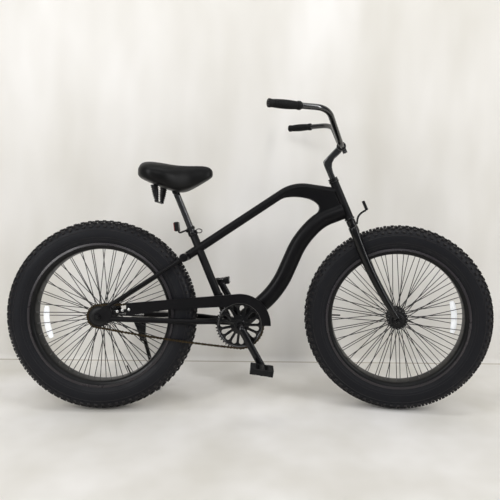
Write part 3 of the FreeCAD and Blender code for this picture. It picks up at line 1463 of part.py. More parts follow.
def make_brake_arm():
    # The hub brake's flat arm: from the axle it steps inward and runs along the left chain stay.
    thick = 2.4
    outer = size.dropout_offset - size.dropout_thickness / 2 - size.seat_gap
    inner = size.chain_stay_offset - size.chain_stay_radius - size.seat_gap
    outline = [
        (-12, outer - thick),
        (13, outer - thick),
        (37, inner - thick),
        (size.brake_arm_end, inner - thick),
        (size.brake_arm_end, inner),
        (38, inner),
        (14, outer),
        (-12, outer),
    ]
    body = doc.addObject("PartDesign::Body", "brake_arm_body")
    sketch = outline_sketch(body, "brake_arm_outline", outline, "XY_Plane")
    pad = body.newObject("PartDesign::Pad", "brake_arm_pad")
    pad.Profile = sketch
    pad.Midplane = True
    pad.Length = 16
    slope = math.degrees(math.atan2(size.chain_stay_foot_x / 4, size.chain_stay_neck_x))
    body.Placement = Placement(rear_axle, Rotation(Vector(0, 1, 0), slope))
    reach = Vector(0, size.axle_end, 0)
    hole = rod("brake_arm_hole", rear_axle - reach, rear_axle + reach, "Sizes.axle_radius + Sizes.seat_gap")
    keep(cut("brake_arm_cut", body, hole), "brake_arm")


# Side stand

stand_pivot = Vector(size.stand_x, size.stand_offset, size.stand_z)
stand_pin = Vector(0, math.cos(math.radians(size.stand_tilt)), math.sin(math.radians(size.stand_tilt)))


def stand_foot():
    # The foot's middle, at the height that rests its rubber on the floor once the bike leans.
    guess = Vector(size.stand_foot_x, size.stand_foot_offset, 0)
    height = root_place.multVec(guess).z
    rise = root_place.multVec(guess + Vector(0, 0, 1)).z - height
    return guess + Vector(0, 0, (size.stand_foot_radius - height) / rise)


def under_chain_stay(x):
    # The height just below the chain stay at a place along it.
    share = (x - size.chain_stay_foot_x) / (size.chain_stay_neck_x - size.chain_stay_foot_x)
    rear_z = -size.chain_stay_drop
    return rear_z + share * (size.chain_stay_z - rear_z) - size.chain_stay_radius - size.seat_gap


def make_stand():
    outline = [
        (size.stand_x - 46, under_chain_stay(size.stand_x - 46)),
        (size.stand_x + 14, under_chain_stay(size.stand_x + 14)),
        (size.stand_x + 12, size.stand_z + 22),
        (size.stand_x + 9, size.stand_z - 9),
        (size.stand_x - 9, size.stand_z - 9),
        (size.stand_x - 16, size.stand_z + 22),
    ]
    blank = plate("stand_bracket_plate", outline, 12)
    blank.Placement = Placement(Vector(0, size.stand_offset - 14, 0), Rotation())
    boss = rod("stand_boss", stand_pivot - stand_pin * 12, stand_pivot - stand_pin * size.seat_gap, "Sizes.stand_radius + 3")
    pin = rod("stand_pin_bar", stand_pivot - stand_pin * 2, stand_pivot + stand_pin * 16, "Sizes.stand_pin_radius")
    keep(fuse("stand_bracket_fused", blank, boss, pin), "stand_bracket")
    foot = stand_foot()
    middle = stand_pivot + stand_pin * (size.stand_radius + 1)
    leg = rod("stand_leg_bar", middle, foot, "Sizes.stand_radius")
    eye = rod("stand_eye", stand_pivot, stand_pivot + stand_pin * 14, "Sizes.stand_radius + 5")
    bore = rod(
        "stand_bore", stand_pivot - stand_pin, stand_pivot + stand_pin * 20, "Sizes.stand_pin_radius + Sizes.axle_clearance"
    )
    reach = Vector(0, 0, size.stand_foot_radius)
    upright = root_place.Rotation.inverted()
    pad = rod("stand_pad", foot - upright.multVec(reach), foot + upright.multVec(reach), "Sizes.stand_foot_radius")
    keep(cut("stand_bored", fuse("stand_fused", leg, eye, pad), bore), "side_stand")


make_wheels()
make_axle("rear", rear_axle, "root")
make_axle("front", front_axle, "steered")
make_head_tube()
make_top_tube()
make_down_tube()
make_head_web()
make_seat_tube()
make_bottom_bracket()
make_stays()
make_dropouts()
make_fork()
make_stem()
make_bar()
make_front_reflector()
make_saddle()
make_saddle_frame()
make_seat_post()
make_rear_reflector()
make_sprockets()
make_chain()
make_crank()
make_guard()
make_brake_arm()
make_stand()

for piece, group, local in nodes.values():
    piece.Placement = group_place[group] * local
doc.recompute()


def centre_shift():
    # Moves the origin under the middle of the whole bike's box.
    whole = Part.makeCompound([piece.Shape for piece, _, _ in nodes.values()])
    limits = whole.optimalBoundingBox(False, False)
    return Vector(-limits.Center.x, -limits.Center.y, 0)


origin_shift = centre_shift()
shift = Placement(origin_shift, Rotation())
for piece, group, local in nodes.values():
    piece.Placement = shift * group_place[group] * local
doc.recompute()

for item in doc.Objects:
    if "Invalid" in item.State or "Error" in item.State:
        raise SystemExit(f"{item.Name} failed: {item.State}")
os.makedirs("parts", exist_ok=True)
for label, (piece, _, _) in nodes.items():
    if piece.Shape.isNull() or not piece.Shape.isValid():
        raise SystemExit(f"{label} has no valid shape")
    piece.Shape.exportStep(f"parts/{label}.step")
print(len(nodes), "pieces, origin moved by", origin_shift)
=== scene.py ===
import bpy
import bmesh
import json
import math
from mathutils import Matrix, Vector


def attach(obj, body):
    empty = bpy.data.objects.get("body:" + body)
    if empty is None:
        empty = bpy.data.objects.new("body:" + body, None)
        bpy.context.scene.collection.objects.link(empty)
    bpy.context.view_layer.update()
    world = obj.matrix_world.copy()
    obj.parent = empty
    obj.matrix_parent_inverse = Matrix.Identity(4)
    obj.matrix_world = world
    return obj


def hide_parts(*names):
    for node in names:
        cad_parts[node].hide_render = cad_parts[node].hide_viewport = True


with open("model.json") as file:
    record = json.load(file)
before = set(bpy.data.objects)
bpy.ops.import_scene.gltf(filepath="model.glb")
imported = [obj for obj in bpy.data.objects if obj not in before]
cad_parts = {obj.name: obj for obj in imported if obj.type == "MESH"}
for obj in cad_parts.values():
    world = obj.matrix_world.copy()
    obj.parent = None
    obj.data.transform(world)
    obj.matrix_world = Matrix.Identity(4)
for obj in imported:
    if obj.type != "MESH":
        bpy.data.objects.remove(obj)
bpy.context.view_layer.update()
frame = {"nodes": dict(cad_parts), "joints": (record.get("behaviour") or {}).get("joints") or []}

scene = bpy.context.scene
joints = {joint["name"]: joint for joint in frame["joints"]}
mm = 0.001


# The bike's own upright drawing

drawing = {
    "tyreRadius": 377,
    "wheelbase": 1185,
    "crankX": 549,
    "crankZ": 350,
    "headAngle": 66,
    "forkRake": 20,
    "seatAngle": 67,
    "seatTubeX": 370,
    "seatTubeZ": 666,
}


def at(x, y, z):
    # a point of the drawing, from millimetres: x forward of the rear axle, y left, z up
    return Vector((x, y, z)) * mm


def inPlane(spots):
    # corners in side view, in the bike's middle plane
    return [at(x, 0, z) for x, z in spots]


def findRootPlace():
    # the leaned bike, found from its rear axle, its crank and the way the rear axle points
    rear = Vector(joints["rear_wheel_spin"]["pos_m"])
    side = Vector(joints["rear_wheel_spin"]["axis"]).normalized()
    ahead = Vector(joints["crank_spin"]["pos_m"]) - rear
    ahead = (ahead - side * ahead.dot(side)).normalized()
    drawn = at(drawing["crankX"], 0, drawing["crankZ"] - drawing["tyreRadius"]).normalized()
    level = Vector((0, 1, 0))
    world = Matrix((ahead, side, ahead.cross(side))).transposed()
    local = Matrix((drawn, level, drawn.cross(level))).transposed()
    turn = (world @ local.transposed()).to_4x4()
    return Matrix.Translation(rear) @ turn @ Matrix.Translation(-at(0, 0, drawing["tyreRadius"]))


rootPlace = findRootPlace()
steerFoot = Vector(joints["steering"]["pos_m"])
steerAxis = Vector(joints["steering"]["axis"]).normalized()


def findSteeredPlace():
    # what steers is drawn straight, then turned as far as the front axle is
    straight = Vector(joints["rear_wheel_spin"]["axis"])
    turned = Vector(joints["front_wheel_spin"]["axis"])
    flat = [v - steerAxis * v.dot(steerAxis) for v in (straight, turned)]
    angle = math.atan2(steerAxis.dot(flat[0].cross(flat[1])), flat[0].dot(flat[1]))
    turn = Matrix.Rotation(angle, 4, steerAxis)
    return Matrix.Translation(steerFoot) @ turn @ Matrix.Translation(-steerFoot) @ rootPlace


steeredPlace = findSteeredPlace()
steeredBodies = ("fork", "front_wheel")
head = math.radians(drawing["headAngle"])
headUp = Vector((-math.cos(head), 0, math.sin(head)))
headForward = Vector((math.sin(head), 0, math.cos(head)))
headFoot = at(drawing["wheelbase"], 0, drawing["tyreRadius"]) - headForward * drawing["forkRake"] * mm
seat = math.radians(drawing["seatAngle"])
seatUp = Vector((-math.cos(seat), 0, math.sin(seat)))
rearAxle = at(0, 0, drawing["tyreRadius"])
frontAxle = at(drawing["wheelbase"], 0, drawing["tyreRadius"])
crankAxle = at(drawing["crankX"], 0, drawing["crankZ"])
sides = ((1, "left"), (-1, "right"))
sideways = Vector((0, 1, 0))
upright = Vector((0, 0, 1))
headTilt = Matrix((headForward, sideways, headUp)).transposed()


def onHead(forward, along, side=0):
    # a point by its reach ahead of the steering axis and its height along it
    return headFoot + (headForward * forward + headUp * along) * mm + Vector((0, side * mm, 0))


def onSeatTube(z):
    run = (z - drawing["seatTubeZ"]) * mm / seatUp.z
    return at(drawing["seatTubeX"], 0, drawing["seatTubeZ"]) + seatUp * run


# Shader groups

def setInputs(node, values):
    for socket, value in values.items():
        node.inputs[socket].default_value = value
    return node


def addNode(tree, kind, values={}, operation=None):
    node = tree.nodes.new("ShaderNode" + kind)
    if operation:
        node.operation = operation
    return setInputs(node, values)


def wire(tree, *joins):
    for source, output, target, entry in joins:
        tree.links.new(source.outputs[output], target.inputs[entry])


def newGroup(name, inputs, outputs):
    group = bpy.data.node_groups.new(name, "ShaderNodeTree")
    for label, value in inputs.items():
        socket = group.interface.new_socket(label, in_out="INPUT", socket_type="NodeSocketFloat")
        socket.default_value = value
    for label, kind in outputs.items():
        group.interface.new_socket(label, in_out="OUTPUT", socket_type=kind)
    return group, group.nodes.new("NodeGroupInput"), group.nodes.new("NodeGroupOutput")


def addGroup(tree, group, values):
    node = tree.nodes.new("ShaderNodeGroup")
    node.node_tree = group
    return setInputs(node, values)


def makeGrainGroup():
    # two sizes of noise: a fine one for the bump and a broad one for uneven gloss
    group, given, out = newGroup(
        "paintGrain",
        {"Scale": 400.0, "Depth": 0.2, "Cloud Scale": 9.0},
        {"Normal": "NodeSocketVector", "Cloud": "NodeSocketFloat"},
    )
    place = addNode(group, "TexCoord")
    fine = addNode(group, "TexNoise", {"Detail": 3})
    broad = addNode(group, "TexNoise", {"Detail": 4})
    bump = addNode(group, "Bump", {"Distance": 0.0006})
    wire(
        group,
        (place, "Object", fine, "Vector"),
        (place, "Object", broad, "Vector"),
        (given, "Scale", fine, "Scale"),
        (given, "Cloud Scale", broad, "Scale"),
        (given, "Depth", bump, "Strength"),
        (fine, "Fac", bump, "Height"),
        (bump, "Normal", out, "Normal"),
        (broad, "Fac", out, "Cloud"),
    )
    return group


def makeWearAndSheenGroup():
    # bright edges where a finish rubs thin, which on the tyre are a painted highlight on the knob edges, and
    # dust that settles on what faces up
    group, given, out = newGroup(
        "edgeWearAndSheen",
        {"Edge": 0.3, "Dust": 0.2},
        {"Edge Mask": "NodeSocketFloat", "Dust Mask": "NodeSocketFloat"},
    )
    shape = addNode(group, "NewGeometry")
    place = addNode(group, "TexCoord")
    noise = addNode(group, "TexNoise", {"Scale": 55, "Detail": 5})
    ramp = addNode(group, "MapRange", {"From Min": 0.52, "From Max": 0.62})
    split = addNode(group, "SeparateXYZ")
    upward = addNode(group, "MapRange", {"From Min": 0.2, "From Max": 1.0})
    edge, patchy, dust, settled = [addNode(group, "Math", operation="MULTIPLY") for _ in range(4)]
    wire(
        group,
        (place, "Object", noise, "Vector"),
        (shape, "Pointiness", ramp, "Value"),
        (ramp, "Result", edge, 0),
        (given, "Edge", edge, 1),
        (edge, 0, patchy, 0),
        (noise, "Fac", patchy, 1),
        (shape, "Normal", split, "Vector"),
        (split, "Z", upward, "Value"),
        (upward, "Result", dust, 0),
        (given, "Dust", dust, 1),
        (dust, 0, settled, 0),
        (noise, "Fac", settled, 1),
        (patchy, 0, out, "Edge Mask"),
        (settled, 0, out, "Dust Mask"),
    )
    return group


grainGroup = makeGrainGroup()
wearAndSheenGroup = makeWearAndSheenGroup()

# what a finish has unless it says otherwise
plainFinish = {"metal": 0.0, "specular": 0.2, "grain": 700, "depth": 0.1, "edge": 0.2, "dust": 0.02}
dustColour = (0.1, 0.098, 0.095)
finishes = {
    "framePaint": {
        "slot": "frame_paint", "colour": (0.0028, 0.0026, 0.0032), "wornAndSheen": (0.06, 0.06, 0.065),
        "rough": (0.3, 0.42), "specular": 0.14, "grain": 900, "depth": 0.12, "edge": 0.12, "dust": 0.012,
    },
    "glossPaint": {
        "slot": "gloss_paint", "colour": (0.003, 0.003, 0.0033), "wornAndSheen": (0.09, 0.09, 0.095),
        "rough": (0.1, 0.17), "specular": 0.3, "grain": 500, "depth": 0.06, "edge": 0.14, "dust": 0.01,
    },
    # the tyre's lighter brownish knob edges are a painted highlight, laid on by the edge mask
    "tyreRubber": {
        "slot": "tyre", "colour": (0.0036, 0.0039, 0.0062), "wornAndSheen": (0.03, 0.026, 0.024),
        "rough": (0.46, 0.62), "specular": 0.24, "depth": 0.3, "edge": 0.7, "dust": 0.06,
    },
    "polishedPaint": {
        "slot": "gloss_paint", "colour": (0.003, 0.003, 0.0033), "wornAndSheen": (0.06, 0.06, 0.065),
        "rough": (0.06, 0.11), "specular": 0.9, "grain": 500, "depth": 0.03, "dust": 0.0,
    },
    "rimPaint": {
        "slot": "rim_paint", "colour": (0.0035, 0.0035, 0.0038), "wornAndSheen": (0.08, 0.08, 0.085),
        "rough": (0.28, 0.4), "grain": 600, "depth": 0.08, "edge": 0.08, "dust": 0.01,
    },
    # the rim's own black paint, made lighter and mauve as a painted highlight on the lip, and glossier
    "rimLipPaintedSheen": {
        "slot": "rim_paint", "colour": (0.02, 0.017, 0.02), "wornAndSheen": (0.05, 0.046, 0.05),
        "rough": (0.24, 0.34), "specular": 0.4, "grain": 600, "depth": 0.08, "dust": 0.05,
    },
    "nippleSteel": {
        "slot": "plated_steel", "colour": (0.16, 0.16, 0.16), "wornAndSheen": (0.4, 0.4, 0.4),
        "rough": (0.3, 0.45), "metal": 1.0, "specular": 0.5, "grain": 800, "edge": 0.3, "dust": 0.05,
    },
    "hubPaint": {
        "slot": "hub_paint", "colour": (0.004, 0.004, 0.0045), "wornAndSheen": (0.1, 0.1, 0.1),
        "rough": (0.3, 0.45), "specular": 0.25, "grain": 600,
    },
    "darkSpoke": {
        "slot": "spoke_steel", "colour": (0.012, 0.0115, 0.011), "wornAndSheen": (0.06, 0.055, 0.05),
        "rough": (0.28, 0.4), "metal": 0.3, "specular": 0.5, "grain": 900, "depth": 0.05, "edge": 0.1,
        "dust": 0.05,
    },
    "brightSteel": {
        "slot": "plated_steel", "colour": (0.55, 0.55, 0.54), "wornAndSheen": (0.75, 0.75, 0.74),
        "rough": (0.2, 0.36), "metal": 1.0, "specular": 0.5, "grain": 800, "edge": 0.5, "dust": 0.1,
    },
    "chainSteel": {
        "slot": "chain_steel", "colour": (0.01, 0.0078, 0.005), "wornAndSheen": (0.1, 0.07, 0.036),
        "rough": (0.3, 0.48), "metal": 0.85, "specular": 0.5, "grain": 900, "depth": 0.15, "edge": 0.9,
        "dust": 0.1,
    },
    "springSteel": {
        "slot": "spring_steel", "colour": (0.004, 0.004, 0.0045), "wornAndSheen": (0.12, 0.12, 0.12),
        "rough": (0.25, 0.4), "specular": 0.25, "dust": 0.01,
    },
    "housingPlastic": {
        "slot": "clear_reflector", "colour": (0.004, 0.004, 0.0045), "wornAndSheen": (0.05, 0.05, 0.05),
        "rough": (0.3, 0.42),
    },
    "bracketPlastic": {
        "slot": "bracket_plastic", "colour": (0.004, 0.004, 0.0045), "wornAndSheen": (0.05, 0.05, 0.05),
        "rough": (0.36, 0.5), "depth": 0.12,
    },
    "valveRubber": {
        "slot": "valve_rubber", "colour": (0.004, 0.004, 0.004), "wornAndSheen": (0.04, 0.04, 0.04),
        "rough": (0.5, 0.7), "specular": 0.16, "depth": 0.2,
    },
    "pedalRubber": {
        "slot": "pedal_rubber", "colour": (0.004, 0.004, 0.0045), "wornAndSheen": (0.05, 0.05, 0.05),
        "rough": (0.5, 0.68), "specular": 0.18, "grain": 500, "depth": 0.3, "edge": 0.4, "dust": 0.05,
    },
    "gripRubber": {
        "slot": "grip_rubber", "colour": (0.0036, 0.0036, 0.0038), "wornAndSheen": (0.04, 0.04, 0.04),
        "rough": (0.5, 0.64), "specular": 0.18, "grain": 350, "depth": 0.5, "edge": 0.3,
    },
}


def newMaterial(name):
    material = bpy.data.materials.new(name)
    material.use_nodes = True
    return material, material.node_tree, material.node_tree.nodes["Principled BSDF"]


def mixColour(tree, factor, first, second):
    # each colour is a plain one or comes out of another node
    mix = tree.nodes.new("ShaderNodeMix")
    mix.data_type = "RGBA"
    tree.links.new(factor, mix.inputs["Factor"])
    for name, value in (("A", first), ("B", second)):
        socket = [s for s in mix.inputs if s.name == name and s.type == "RGBA"][0]
        if isinstance(value, tuple):
            socket.default_value = (*value, 1)
        else:
            tree.links.new(value, socket)
    return [s for s in mix.outputs if s.type == "RGBA"][0]


def makeFinish(name, own):
    settings = {**plainFinish, **own}
    low, high = settings["rough"]
    material, tree, shader = newMaterial(name)
    grain = addGroup(tree, grainGroup, {"Scale": settings["grain"], "Depth": settings["depth"]})
    wearAndSheenMasks = addGroup(tree, wearAndSheenGroup, {"Edge": settings["edge"], "Dust": settings["dust"]})
    rough = addNode(tree, "MapRange", {"From Min": 0.35, "From Max": 0.65, "To Min": low, "To Max": high})
    wire(
        tree,
        (grain, "Cloud", rough, "Value"),
        (rough, "Result", shader, "Roughness"),
        (grain, "Normal", shader, "Normal"),
    )
    # edges take the lighter colour: wear where a finish rubs thin, and on the tyre a painted highlight
    wornAndSheen = mixColour(tree, wearAndSheenMasks.outputs["Edge Mask"], settings["colour"], settings["wornAndSheen"])
    dusty = mixColour(tree, wearAndSheenMasks.outputs["Dust Mask"], wornAndSheen, dustColour)
    tree.links.new(dusty, shader.inputs["Base Color"])
    setInputs(shader, {"Metallic": settings["metal"], "Specular IOR Level": settings["specular"]})
    return material


vinyl = {
    "slot": "saddle_vinyl",
    "dark": (0.0024, 0.0024, 0.0024),
    "light": (0.0046, 0.0046, 0.0046),
    "rough": (0.3, 0.46),
    "specular": 0.17,
    "cells": 420,
    "clouds": 14,
}


def makeVinyl(name):
    # grained vinyl: a small cell pattern pressed into a soft black skin
    material, tree, shader = newMaterial(name)
    low, high = vinyl["rough"]
    place = addNode(tree, "TexCoord")
    cells = addNode(tree, "TexVoronoi", {"Scale": vinyl["cells"]})
    bump = addNode(tree, "Bump", {"Strength": 0.26, "Distance": 0.0005})
    grain = addGroup(tree, grainGroup, {"Cloud Scale": vinyl["clouds"]})
    rough = addNode(tree, "MapRange", {"To Min": low, "To Max": high})
    colour = mixColour(tree, grain.outputs["Cloud"], vinyl["dark"], vinyl["light"])
    wire(
        tree,
        (place, "Object", cells, "Vector"),
        (cells, "Distance", bump, "Height"),
        (bump, "Normal", shader, "Normal"),
        (grain, "Cloud", rough, "Value"),
        (rough, "Result", shader, "Roughness"),
    )
    tree.links.new(colour, shader.inputs["Base Color"])
    setInputs(shader, {"Specular IOR Level": vinyl["specular"]})
    return material


lenses = {
    "whiteLens": {
        "slot": "white_reflector", "bright": (0.93, 0.94, 0.95), "deep": (0.76, 0.78, 0.8), "paintedGlow": 0.35,
    },
    "clearLens": {
        "slot": "clear_reflector", "bright": (0.5, 0.52, 0.53), "deep": (0.25, 0.27, 0.28), "paintedGlow": 0.0,
    },
    "redLens": {
        "slot": "red_reflector", "bright": (0.42, 0.012, 0.01), "deep": (0.14, 0.003, 0.003), "paintedGlow": 0.0,
    },
}


def makeLens(name, settings):
    # a prism lens: small facets, and a painted glow that stands in for the light that prisms send straight
    # back
    material, tree, shader = newMaterial(name)
    place = addNode(tree, "TexCoord")
    cells = addNode(tree, "TexVoronoi")
    cells.distance = "CHEBYCHEV"
    setInputs(cells, {"Scale": 260, "Randomness": 0.1})
    bump = addNode(tree, "Bump", {"Strength": 0.6, "Distance": 0.001})
    colour = mixColour(tree, cells.outputs["Distance"], settings["deep"], settings["bright"])
    wire(
        tree,
        (place, "Object", cells, "Vector"),
        (cells, "Distance", bump, "Height"),
        (bump, "Normal", shader, "Normal"),
    )
    tree.links.new(colour, shader.inputs["Base Color"])
    # the lens glows with its own colour: a painted reflection, since the lens is no lamp
    tree.links.new(colour, shader.inputs["Emission Color"])
    setInputs(shader, {"Emission Strength": settings["paintedGlow"], "Roughness": 0.14})
    return material


paint = {name: makeFinish(name, settings) for name, settings in finishes.items()}
paint["saddleVinyl"] = makeVinyl("saddleVinyl")
paint.update({name: makeLens(name, settings) for name, settings in lenses.items()})
slotOf = {name: settings["slot"] for name, settings in {**finishes, **lenses}.items()}
slotOf["saddleVinyl"] = vinyl["slot"]
print("finishes made:", len(paint))


# Makers

def finishPiece(name, bm, material, body, stands=(), smooth=40):
    # a drawn piece is put where its body stands, and rides it
    bmesh.ops.recalc_face_normals(bm, faces=bm.faces)
    mesh = bpy.data.meshes.new(name)
    bm.to_mesh(mesh)
    bm.free()
    mesh.transform(steeredPlace if body in steeredBodies else rootPlace)
    piece = bpy.data.objects.new(name, mesh)
    scene.collection.objects.link(piece)
    mesh.materials.append(paint[material])
    for face in mesh.polygons:
        face.use_smooth = True
    if smooth < 180:
        mesh.set_sharp_from_angle(angle=math.radians(smooth))
    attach(piece, body)
    if stands:
        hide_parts(*stands)
    return piece


def mirrored(half):
    # the other half of a profile, from its last point back to its first
    return [(-offset, radius) for offset, radius in reversed(half)]


def roundCorners(spots, reaches=None, steps=10):
    # every corner becomes a true arc that starts and ends at its reach along the two runs
    line = [spots[0]]
    for number, (before, corner, after) in enumerate(zip(spots, spots[1:], spots[2:])):
        back, ahead = before - corner, after - corner
        reach = reaches[number] * mm if reaches else 0.45 * min(back.length, ahead.length)
        start, end = corner + back.normalized() * reach, corner + ahead.normalized() * reach
        weight = math.cos((math.pi - back.angle(ahead)) / 2)
        for step in range(steps + 1):
            t = step / steps
            a, b, c = (1 - t) ** 2, 2 * weight * t * (1 - t), t ** 2
            line.append((start * a + corner * b + end * c) / (a + b + c))
    line.append(spots[-1])
    return line


def skin(bm, rings, closed=False):
    # faces from ring to ring, then back to the first one, or over the two ends
    for first, second in zip(rings, rings[1:] + rings[:1] if closed else rings[1:]):
        for a in range(len(first)):
            b = (a + 1) % len(first)
            bm.faces.new((first[a], first[b], second[b], second[a]))
    if not closed:
        bm.faces.new(rings[0])
        bm.faces.new(list(reversed(rings[-1])))


def sweep(bm, line, radii, sides=24, flat=1.0, lead=sideways):
    # a bar along a line; flat squeezes or widens its section along lead
    headings = [(b - a).normalized() for a, b in zip(line, line[1:])]
    headings = [headings[0]] + headings + [headings[-1]]
    across = lead - headings[0] * lead.dot(headings[0])
    across = across.normalized() if across.length > 1e-6 else Vector((1, 0, 0))
    rings = []
    for number, spot in enumerate(line):
        along = (headings[number] + headings[number + 1]).normalized()
        across = (across - along * across.dot(along)).normalized()
        up = along.cross(across)
        radius = radii[number] if isinstance(radii, list) else radii
        ring = []
        for corner in range(sides):
            angle = 2 * math.pi * corner / sides
            offset = across * math.cos(angle) * flat + up * math.sin(angle)
            ring.append(bm.verts.new(spot + offset * radius * mm))
        rings.append(ring)
    skin(bm, rings)


def spread(line, start, end):
    # values that change evenly along a line
    lengths = [0.0]
    for a, b in zip(line, line[1:]):
        lengths.append(lengths[-1] + (b - a).length)
    return [start + (end - start) * length / lengths[-1] for length in lengths]


def tube(name, line, radii, material, body, stands=(), **more):
    bm = bmesh.new()
    sweep(bm, line, radii, **more)
    return finishPiece(name, bm, material, body, stands)


def latheInto(bm, profile, start, along, segments=48, closed=True):
    # turns (distance along, radius) pairs, in millimetres, about a line
    along = along.normalized()
    guide = Vector((1, 0, 0)) if abs(along.x) < 0.9 else upright
    across = (guide - along * guide.dot(along)).normalized()
    up = along.cross(across)
    rings = []
    for distance, radius in profile:
        centre = start + along * distance * mm
        ring = []
        for corner in range(segments):
            angle = 2 * math.pi * corner / segments
            offset = across * math.cos(angle) + up * math.sin(angle)
            ring.append(bm.verts.new(centre + offset * radius * mm))
        rings.append(ring)
    skin(bm, rings, closed)


def lathe(name, profile, start, along, material, body, stands=(), segments=48, closed=True, smooth=40):
    bm = bmesh.new()
    latheInto(bm, profile, start, along, segments, closed)
    return finishPiece(name, bm, material, body, stands, smooth)


def addBox(bm, middle, size, turn, shrink=1.0):
    # a block with a narrower top face where shrink is under 1
    corners = []
    for up, share in ((-1, 1.0), (1, shrink)):
        for x, y in ((-1, -1), (1, -1), (1, 1), (-1, 1)):
            spot = Vector((x * size[0] * share, y * size[1] * share, up * size[2])) * 0.5 * mm
            corners.append(bm.verts.new(middle + turn @ spot))
    for face in ((3, 2, 1, 0), (4, 5, 6, 7), (0, 1, 5, 4), (1, 2, 6, 5), (2, 3, 7, 6), (3, 0, 4, 7)):
        bm.faces.new([corners[number] for number in face])


def softEdges(piece, width, segments=2):
    bevel = piece.modifiers.new("softEdges", "BEVEL")
    bevel.width = width * mm
    bevel.segments = segments
    bevel.limit_method = "ANGLE"
    bevel.angle_limit = math.radians(35)


def block(name, middle, size, material, body, stands, turn, soft):
    bm = bmesh.new()
    addBox(bm, middle, size, turn)
    softEdges(finishPiece(name, bm, material, body, stands), soft)


def slab(name, outline, half, material, body, stands, soft):
    # an outline in side view, pulled across the bike
    bm = bmesh.new()
    rings = [[bm.verts.new(Vector((spot.x, y * mm, spot.z))) for spot in outline] for y in (-half, half)]
    skin(bm, rings)
    softEdges(finishPiece(name, bm, material, body, stands, 30), soft, 4)


# Wheels

wheels = {
    "rear": {"centre": rearAxle, "reflectorAngle": 189, "firstHole": 3.6},
    "front": {"centre": frontAxle, "reflectorAngle": 3, "firstHole": -3.3},
}
tyre = {
    "segments": 180,
    "knobs": 80,
    "knobHeight": 7.4,
    "knobSink": 1.2,  # how far a knob's foot lies inside the casing
    "knobTaper": 0.86,
    # half of the casing under the knobs: distance from the middle, radius
    "casing": [
        (0, 368.2), (18, 367), (36, 360.5), (44, 352), (47.5, 342), (49.3, 330), (48.8, 316), (46, 303),
        (42, 294), (39.5, 289), (38, 286.5),
    ],
    # rows of knobs: middle, radius there, length round, width across, outward tilt, shift round
    "rows": [
        (0, 370.6, 14, 16, 0, 0.0),
        (16, 367.4, 13, 12, 12, 0.5),
        (30.5, 362.4, 14, 11, 26, 0.0),
        (43, 350.6, 12, 10, 52, 0.5),
    ],
    # raised rings on each wall: radius, distance from the middle
    "wallRings": [(300, 44.4), (309, 47.2), (338, 48.6)],
}


def addKnob(bm, centre, side, angle, row, odd):
    # every second knob is longer and narrower
    middle, radius, length, width, tilt, _ = row
    out = Vector((math.cos(angle), 0, math.sin(angle)))
    ahead = Vector((-math.sin(angle), 0, math.cos(angle)))
    lean = math.radians(tilt) * side
    up = (out * math.cos(lean) + sideways * math.sin(lean)).normalized()
    across = up.cross(ahead).normalized()
    spot = centre + out * radius * mm + sideways * middle * side * mm
    size = (length * (1.0 if odd else 0.84), width * (0.86 if odd else 1.0), tyre["knobHeight"])
    rise = tyre["knobHeight"] / 2 - tyre["knobSink"]
    addBox(bm, spot + up * rise * mm, size, Matrix((ahead, across, up)).transposed(), tyre["knobTaper"])


def makeTyre(where, centre):
    bm = bmesh.new()
    profile = mirrored(tyre["casing"][1:]) + tyre["casing"]
    latheInto(bm, profile, centre, sideways, tyre["segments"])
    for row in tyre["rows"]:
        for side in (1, -1) if row[0] else (1,):
            for number in range(tyre["knobs"]):
                addKnob(bm, centre, side, 2 * math.pi * (number + row[-1]) / tyre["knobs"], row, number % 2)
    for side in (-1, 1):
        for radius, depth in tyre["wallRings"]:
            ring = [
                (side * (depth - 0.8), radius - 1.6), (side * (depth + 0.7), radius),
                (side * (depth - 0.8), radius + 1.6),
            ]
            latheInto(bm, ring, centre, sideways, tyre["segments"])
    finishPiece(f"{where}Tyre", bm, "tyreRubber", f"{where}_wheel", (f"{where}_tyre",), 50)


rim = {
    "segments": 160,
    "profile": [
        (8, 261.6), (20, 261.9), (29, 263), (33.5, 266), (36.8, 272), (38.6, 278), (40, 280.5), (40, 285.5),
        (39.2, 286.8), (38, 286.8), (37, 284), (36.2, 278), (33, 271), (28, 267.5), (14, 266.5),
    ],
    "lip": [(39.2, 276.6), (43.2, 278.2), (41.2, 286.6), (39.2, 286.9)],
}


def makeRim(where, centre):
    body = f"{where}_wheel"
    profile = rim["profile"] + mirrored(rim["profile"])
    stands = (f"{where}_rim",)
    lathe(f"{where}Rim", profile, centre, sideways, "rimPaint", body, stands, rim["segments"], True, 50)
    for side, name in sides:
        lip = [(side * offset, radius) for offset, radius in rim["lip"]]
        # each lip ring carries the painted highlight
        lathe(f"{where}RimLip_{name}", lip, centre, sideways, "rimLipPaintedSheen", body, (), rim["segments"], True, 60)


def wheelPoint(centre, angle, radius, side):
    return centre + (Vector((math.cos(angle), 0, math.sin(angle))) * radius + sideways * side) * mm


spokes = {
    "pairs": 18,  # on each flange
    "sweep": 15,  # turn from the flange hole to the rim hole
    "farShift": 13.5,
    "radius": 1.6,
    "flangeHole": 37,
    "flange": 33,
    "lace": 3.9,  # spokes of a pair leave the flange by its two faces
    "bed": 261.4,
    "bedOffset": 13,
    "bedLace": 2,
    "nipple": [(0, 1.6), (10, 1.7), (12, 2.0)],
    "spokeHead": [(-0.8, 1.2), (-0.2, 2.2), (0.9, 2.0)],
}


